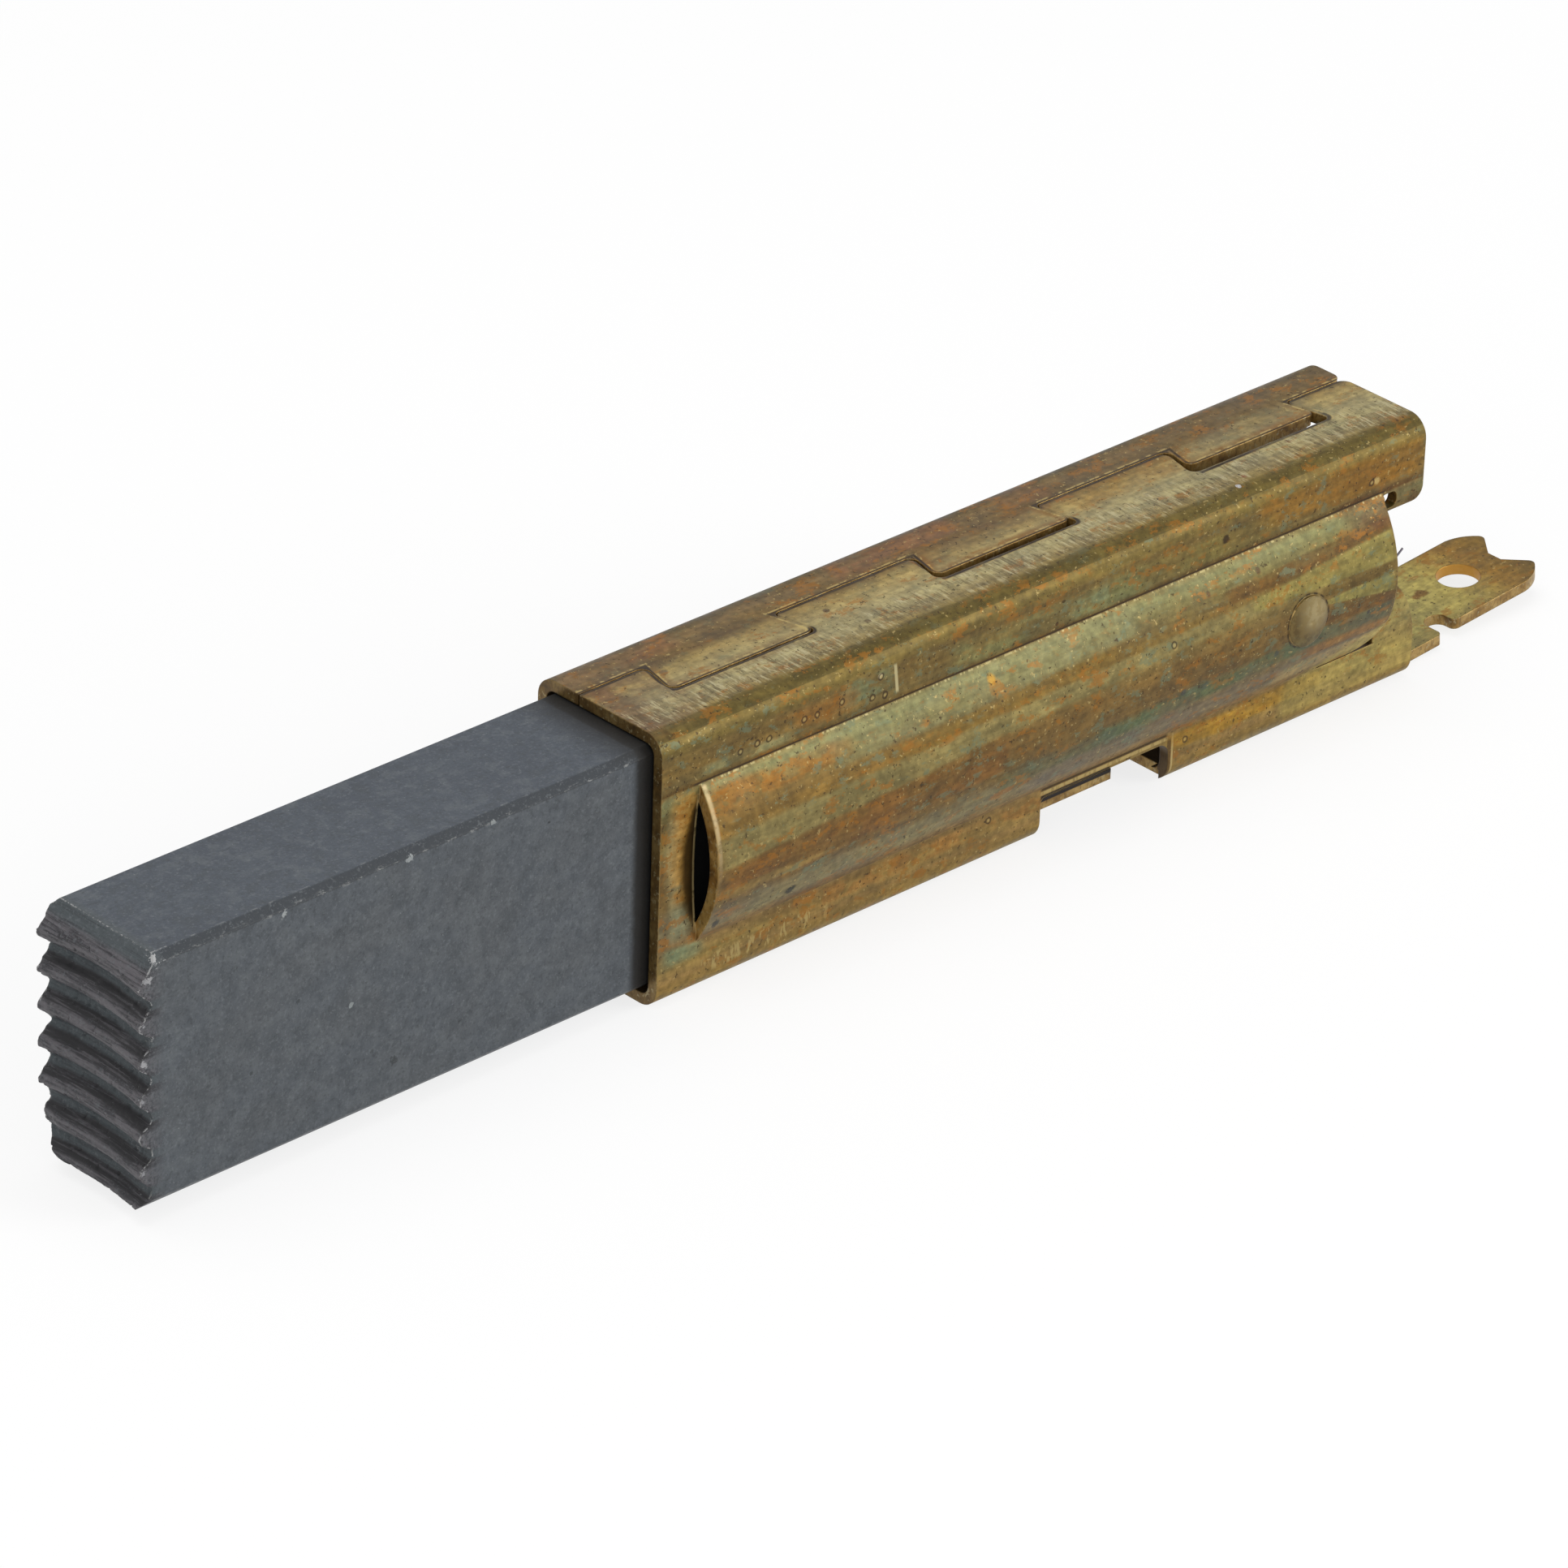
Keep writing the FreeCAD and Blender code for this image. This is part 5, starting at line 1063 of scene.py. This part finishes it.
def buildSpring():
    form = springForm
    shape = bmesh.new()
    bmesh.ops.create_circle(shape, segments=form["sides"], radius=form["wire"] / 2 * mm)
    quarter = Matrix.Rotation(math.radians(90), 3, "X")
    bmesh.ops.rotate(shape, verts=shape.verts, cent=(0, 0, 0), matrix=quarter)
    coil = form["outerRadius"] - form["wire"] / 2
    bmesh.ops.translate(shape, verts=shape.verts, vec=(
        (form["front"] + form["wire"] / 2) * mm, 0, (form["axisHeight"] + coil) * mm))
    last = list(shape.edges)
    for turns, pitch in form["turns"]:
        made = bmesh.ops.spin(
            shape, geom=last, cent=(0, 0, form["axisHeight"] * mm), axis=(1, 0, 0),
            dvec=(pitch / form["stepsPerTurn"] * mm, 0, 0), angle=2 * math.pi * turns,
            steps=turns * form["stepsPerTurn"])
        last = [item for item in made["geom_last"] if isinstance(item, bmesh.types.BMEdge)]
    bmesh.ops.holes_fill(shape, edges=[edge for edge in shape.edges if edge.is_boundary])
    bmesh.ops.recalc_face_normals(shape, faces=shape.faces)
    for face in shape.faces:
        face.smooth = len(face.verts) == 4
    return pieceOf(shape, "springCoil")


def springSteel():
    material, tree, shader = newFinish("springSteel")
    here = placeOn(tree)[0]
    cloud = grain(tree, here, 1.2, detail=4.0, shift=6.0)
    colour = blend(tree, step(tree, cloud, 0.4, 0.65), ink("#b6b6b0"), ink("#8d887c"))
    tree.links.new(colour, shader.inputs["Base Color"])
    tree.links.new(step(tree, cloud, 0.3, 0.7, 0.28, 0.42), shader.inputs["Roughness"])
    shader.inputs["Metallic"].default_value = 1.0
    return material


spring = buildSpring()
dress(spring, springSteel())
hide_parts("spring")
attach(spring, "holder")
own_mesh(spring)
print("spring made:", len(spring.data.polygons), "faces")


# Shunt

shuntForm = {  # millimetres
    "route": [  # along, across
        (-15.75, 0.0), (-11.0, 0.0), (-3.0, 0.0), (4.4, 0.0), (7.1, 0.0),
        (8.9, -3.99), (11.6, -3.99), (16.9, -3.99),
    ],
    "axisHeight": 6.05,
    "strands": 8,  # in each of the two directions
    "strandRadius": 0.105,
    "weaveDepth": 0.06,
    # as a round braid, and as a flat strap
    "halfHeight": (0.44, 0.87),
    "halfThick": (0.44, 0.08),
    "coreGap": (0.06, 0.34),
    "coreRadius": (0.3, 0.1),
    "flatStart": 3.2,
    "flatEnd": 6.2,
    "lay": 4.4,
    "samples": 230,
    "strayStrand": [(16.6, -3.95, 6.1), (18.6, -3.95, 6.05), (19.6, -3.92, 6.12), (20.42, -3.9, 6.72)],
    "strayRadius": 0.05,
    "greyFrom": 17.2,
}


def addLine(data, points, radii, kind="POLY"):
    line = data.splines.new(kind)
    line.points.add(len(points) - 1)
    for point, place, radius in zip(line.points, points, radii):
        point.co = (*(Vector(place) * mm), 1.0)
        point.radius = radius
    if kind == "NURBS":
        line.order_u = 3
        line.use_endpoint_u = True
    return line


def meshOf(data, name):
    holder = addObject(name, data)
    mesh = bpy.data.meshes.new_from_object(holder)
    mesh.name = name
    bpy.data.objects.remove(holder)
    return mesh


# the route's points in millimetres, at equal steps along its spline
def routePoints():
    form = shuntForm
    data = bpy.data.curves.new("shuntRoute", "CURVE")
    data.dimensions = "3D"
    data.resolution_u = 32
    corners = [(x, y, form["axisHeight"]) for x, y in form["route"]]
    addLine(data, corners, [1.0] * len(corners), "NURBS")
    smooth = [vert.co / mm for vert in meshOf(data, "shuntRoute").vertices]
    lengths = [0.0]
    for first, second in zip(smooth, smooth[1:]):
        lengths.append(lengths[-1] + (second - first).length)
    points = []
    part = 0
    for number in range(form["samples"]):
        reach = lengths[-1] * number / (form["samples"] - 1)
        while part < len(lengths) - 2 and lengths[part + 1] < reach:
            part += 1
        share = (reach - lengths[part]) / (lengths[part + 1] - lengths[part])
        points.append((reach, smooth[part].lerp(smooth[part + 1], share)))
    return points


# a size between the round braid's and the flat strap's
def flattened(sizes, flatness):
    return sizes[0] + (sizes[1] - sizes[0]) * flatness


def buildShunt():
    form = shuntForm
    path = routePoints()
    data = bpy.data.curves.new("copperShunt", "CURVE")
    data.dimensions = "3D"
    data.bevel_depth = mm
    data.bevel_resolution = 1
    data.use_fill_caps = True
    up = Vector((0, 0, 1))
    frames = []
    for number, (reach, place) in enumerate(path):
        before, after = path[max(0, number - 1)][1], path[min(len(path) - 1, number + 1)][1]
        sideways = (after - before).normalized().cross(up)
        flatness = softly(place.x, form["flatStart"], form["flatEnd"])
        frames.append((reach, place, sideways, flatness))

    # strands of the two directions pass over and under each other
    for way in (1, -1):
        for strand in range(form["strands"]):
            points = []
            for reach, place, sideways, flatness in frames:
                around = 2 * math.pi * reach / form["lay"]
                turn = way * around + 2 * math.pi * strand / form["strands"]
                weave = way * form["weaveDepth"] * math.cos(form["strands"] * around)
                tall = flattened(form["halfHeight"], flatness) + weave
                thick = flattened(form["halfThick"], flatness) + weave * (1 - 0.6 * flatness)
                points.append(place + up * tall * math.sin(turn) + sideways * thick * math.cos(turn))
            addLine(data, points, [form["strandRadius"]] * len(points))

    # the core fills the braid
    for lane in (-2, -1, 0, 1, 2):
        points = []
        radii = []
        for _, place, _, flatness in frames:
            points.append(place + up * lane * flattened(form["coreGap"], flatness))
            radii.append(flattened(form["coreRadius"], flatness))
        addLine(data, points, radii)
    addLine(data, form["strayStrand"], [form["strayRadius"]] * len(form["strayStrand"]))
    mesh = meshOf(data, "copperShunt")
    for face in mesh.polygons:
        face.use_smooth = True
    return addObject("copperShunt", mesh)


def copper(name, first, second, third, metallic, roughness):
    material, tree, shader = newFinish(name)
    here = placeOn(tree)[0]
    cloud = grain(tree, here, 1.4, detail=4.0, shift=17.0)
    fine = grain(tree, here, 0.12, detail=3.0, shift=27.0)
    colour = blend(tree, step(tree, cloud, 0.4, 0.62), ink(first), ink(second))
    colour = paint(tree, colour, third, step(tree, fine, 0.5, 0.66, 0.0, 0.7))
    tree.links.new(colour, shader.inputs["Base Color"])
    tree.links.new(bump(tree, fine, 0.5, 0.03), shader.inputs["Normal"])
    shader.inputs["Metallic"].default_value = metallic
    shader.inputs["Roughness"].default_value = roughness
    return material


shunt = buildShunt()
dress(shunt, copper("copperBraid", "#c98f66", "#a86b42", "#6e4227", 0.9, 0.38),
      copper("greyStrand", "#7b7480", "#6a6470", "#8d8792", 0.2, 0.5))
for face in shunt.data.polygons:
    face.material_index = 1 if face.center.x > shuntForm["greyFrom"] * mm else 0
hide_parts("pigtail")
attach(shunt, "holder")
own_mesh(shunt)
print("shunt made:", len(shunt.data.polygons), "faces")
dress(nodes["tamping_plug"], copper("copperPowder", "#9c6446", "#7d4c34", "#5a3524", 0.5, 0.7))
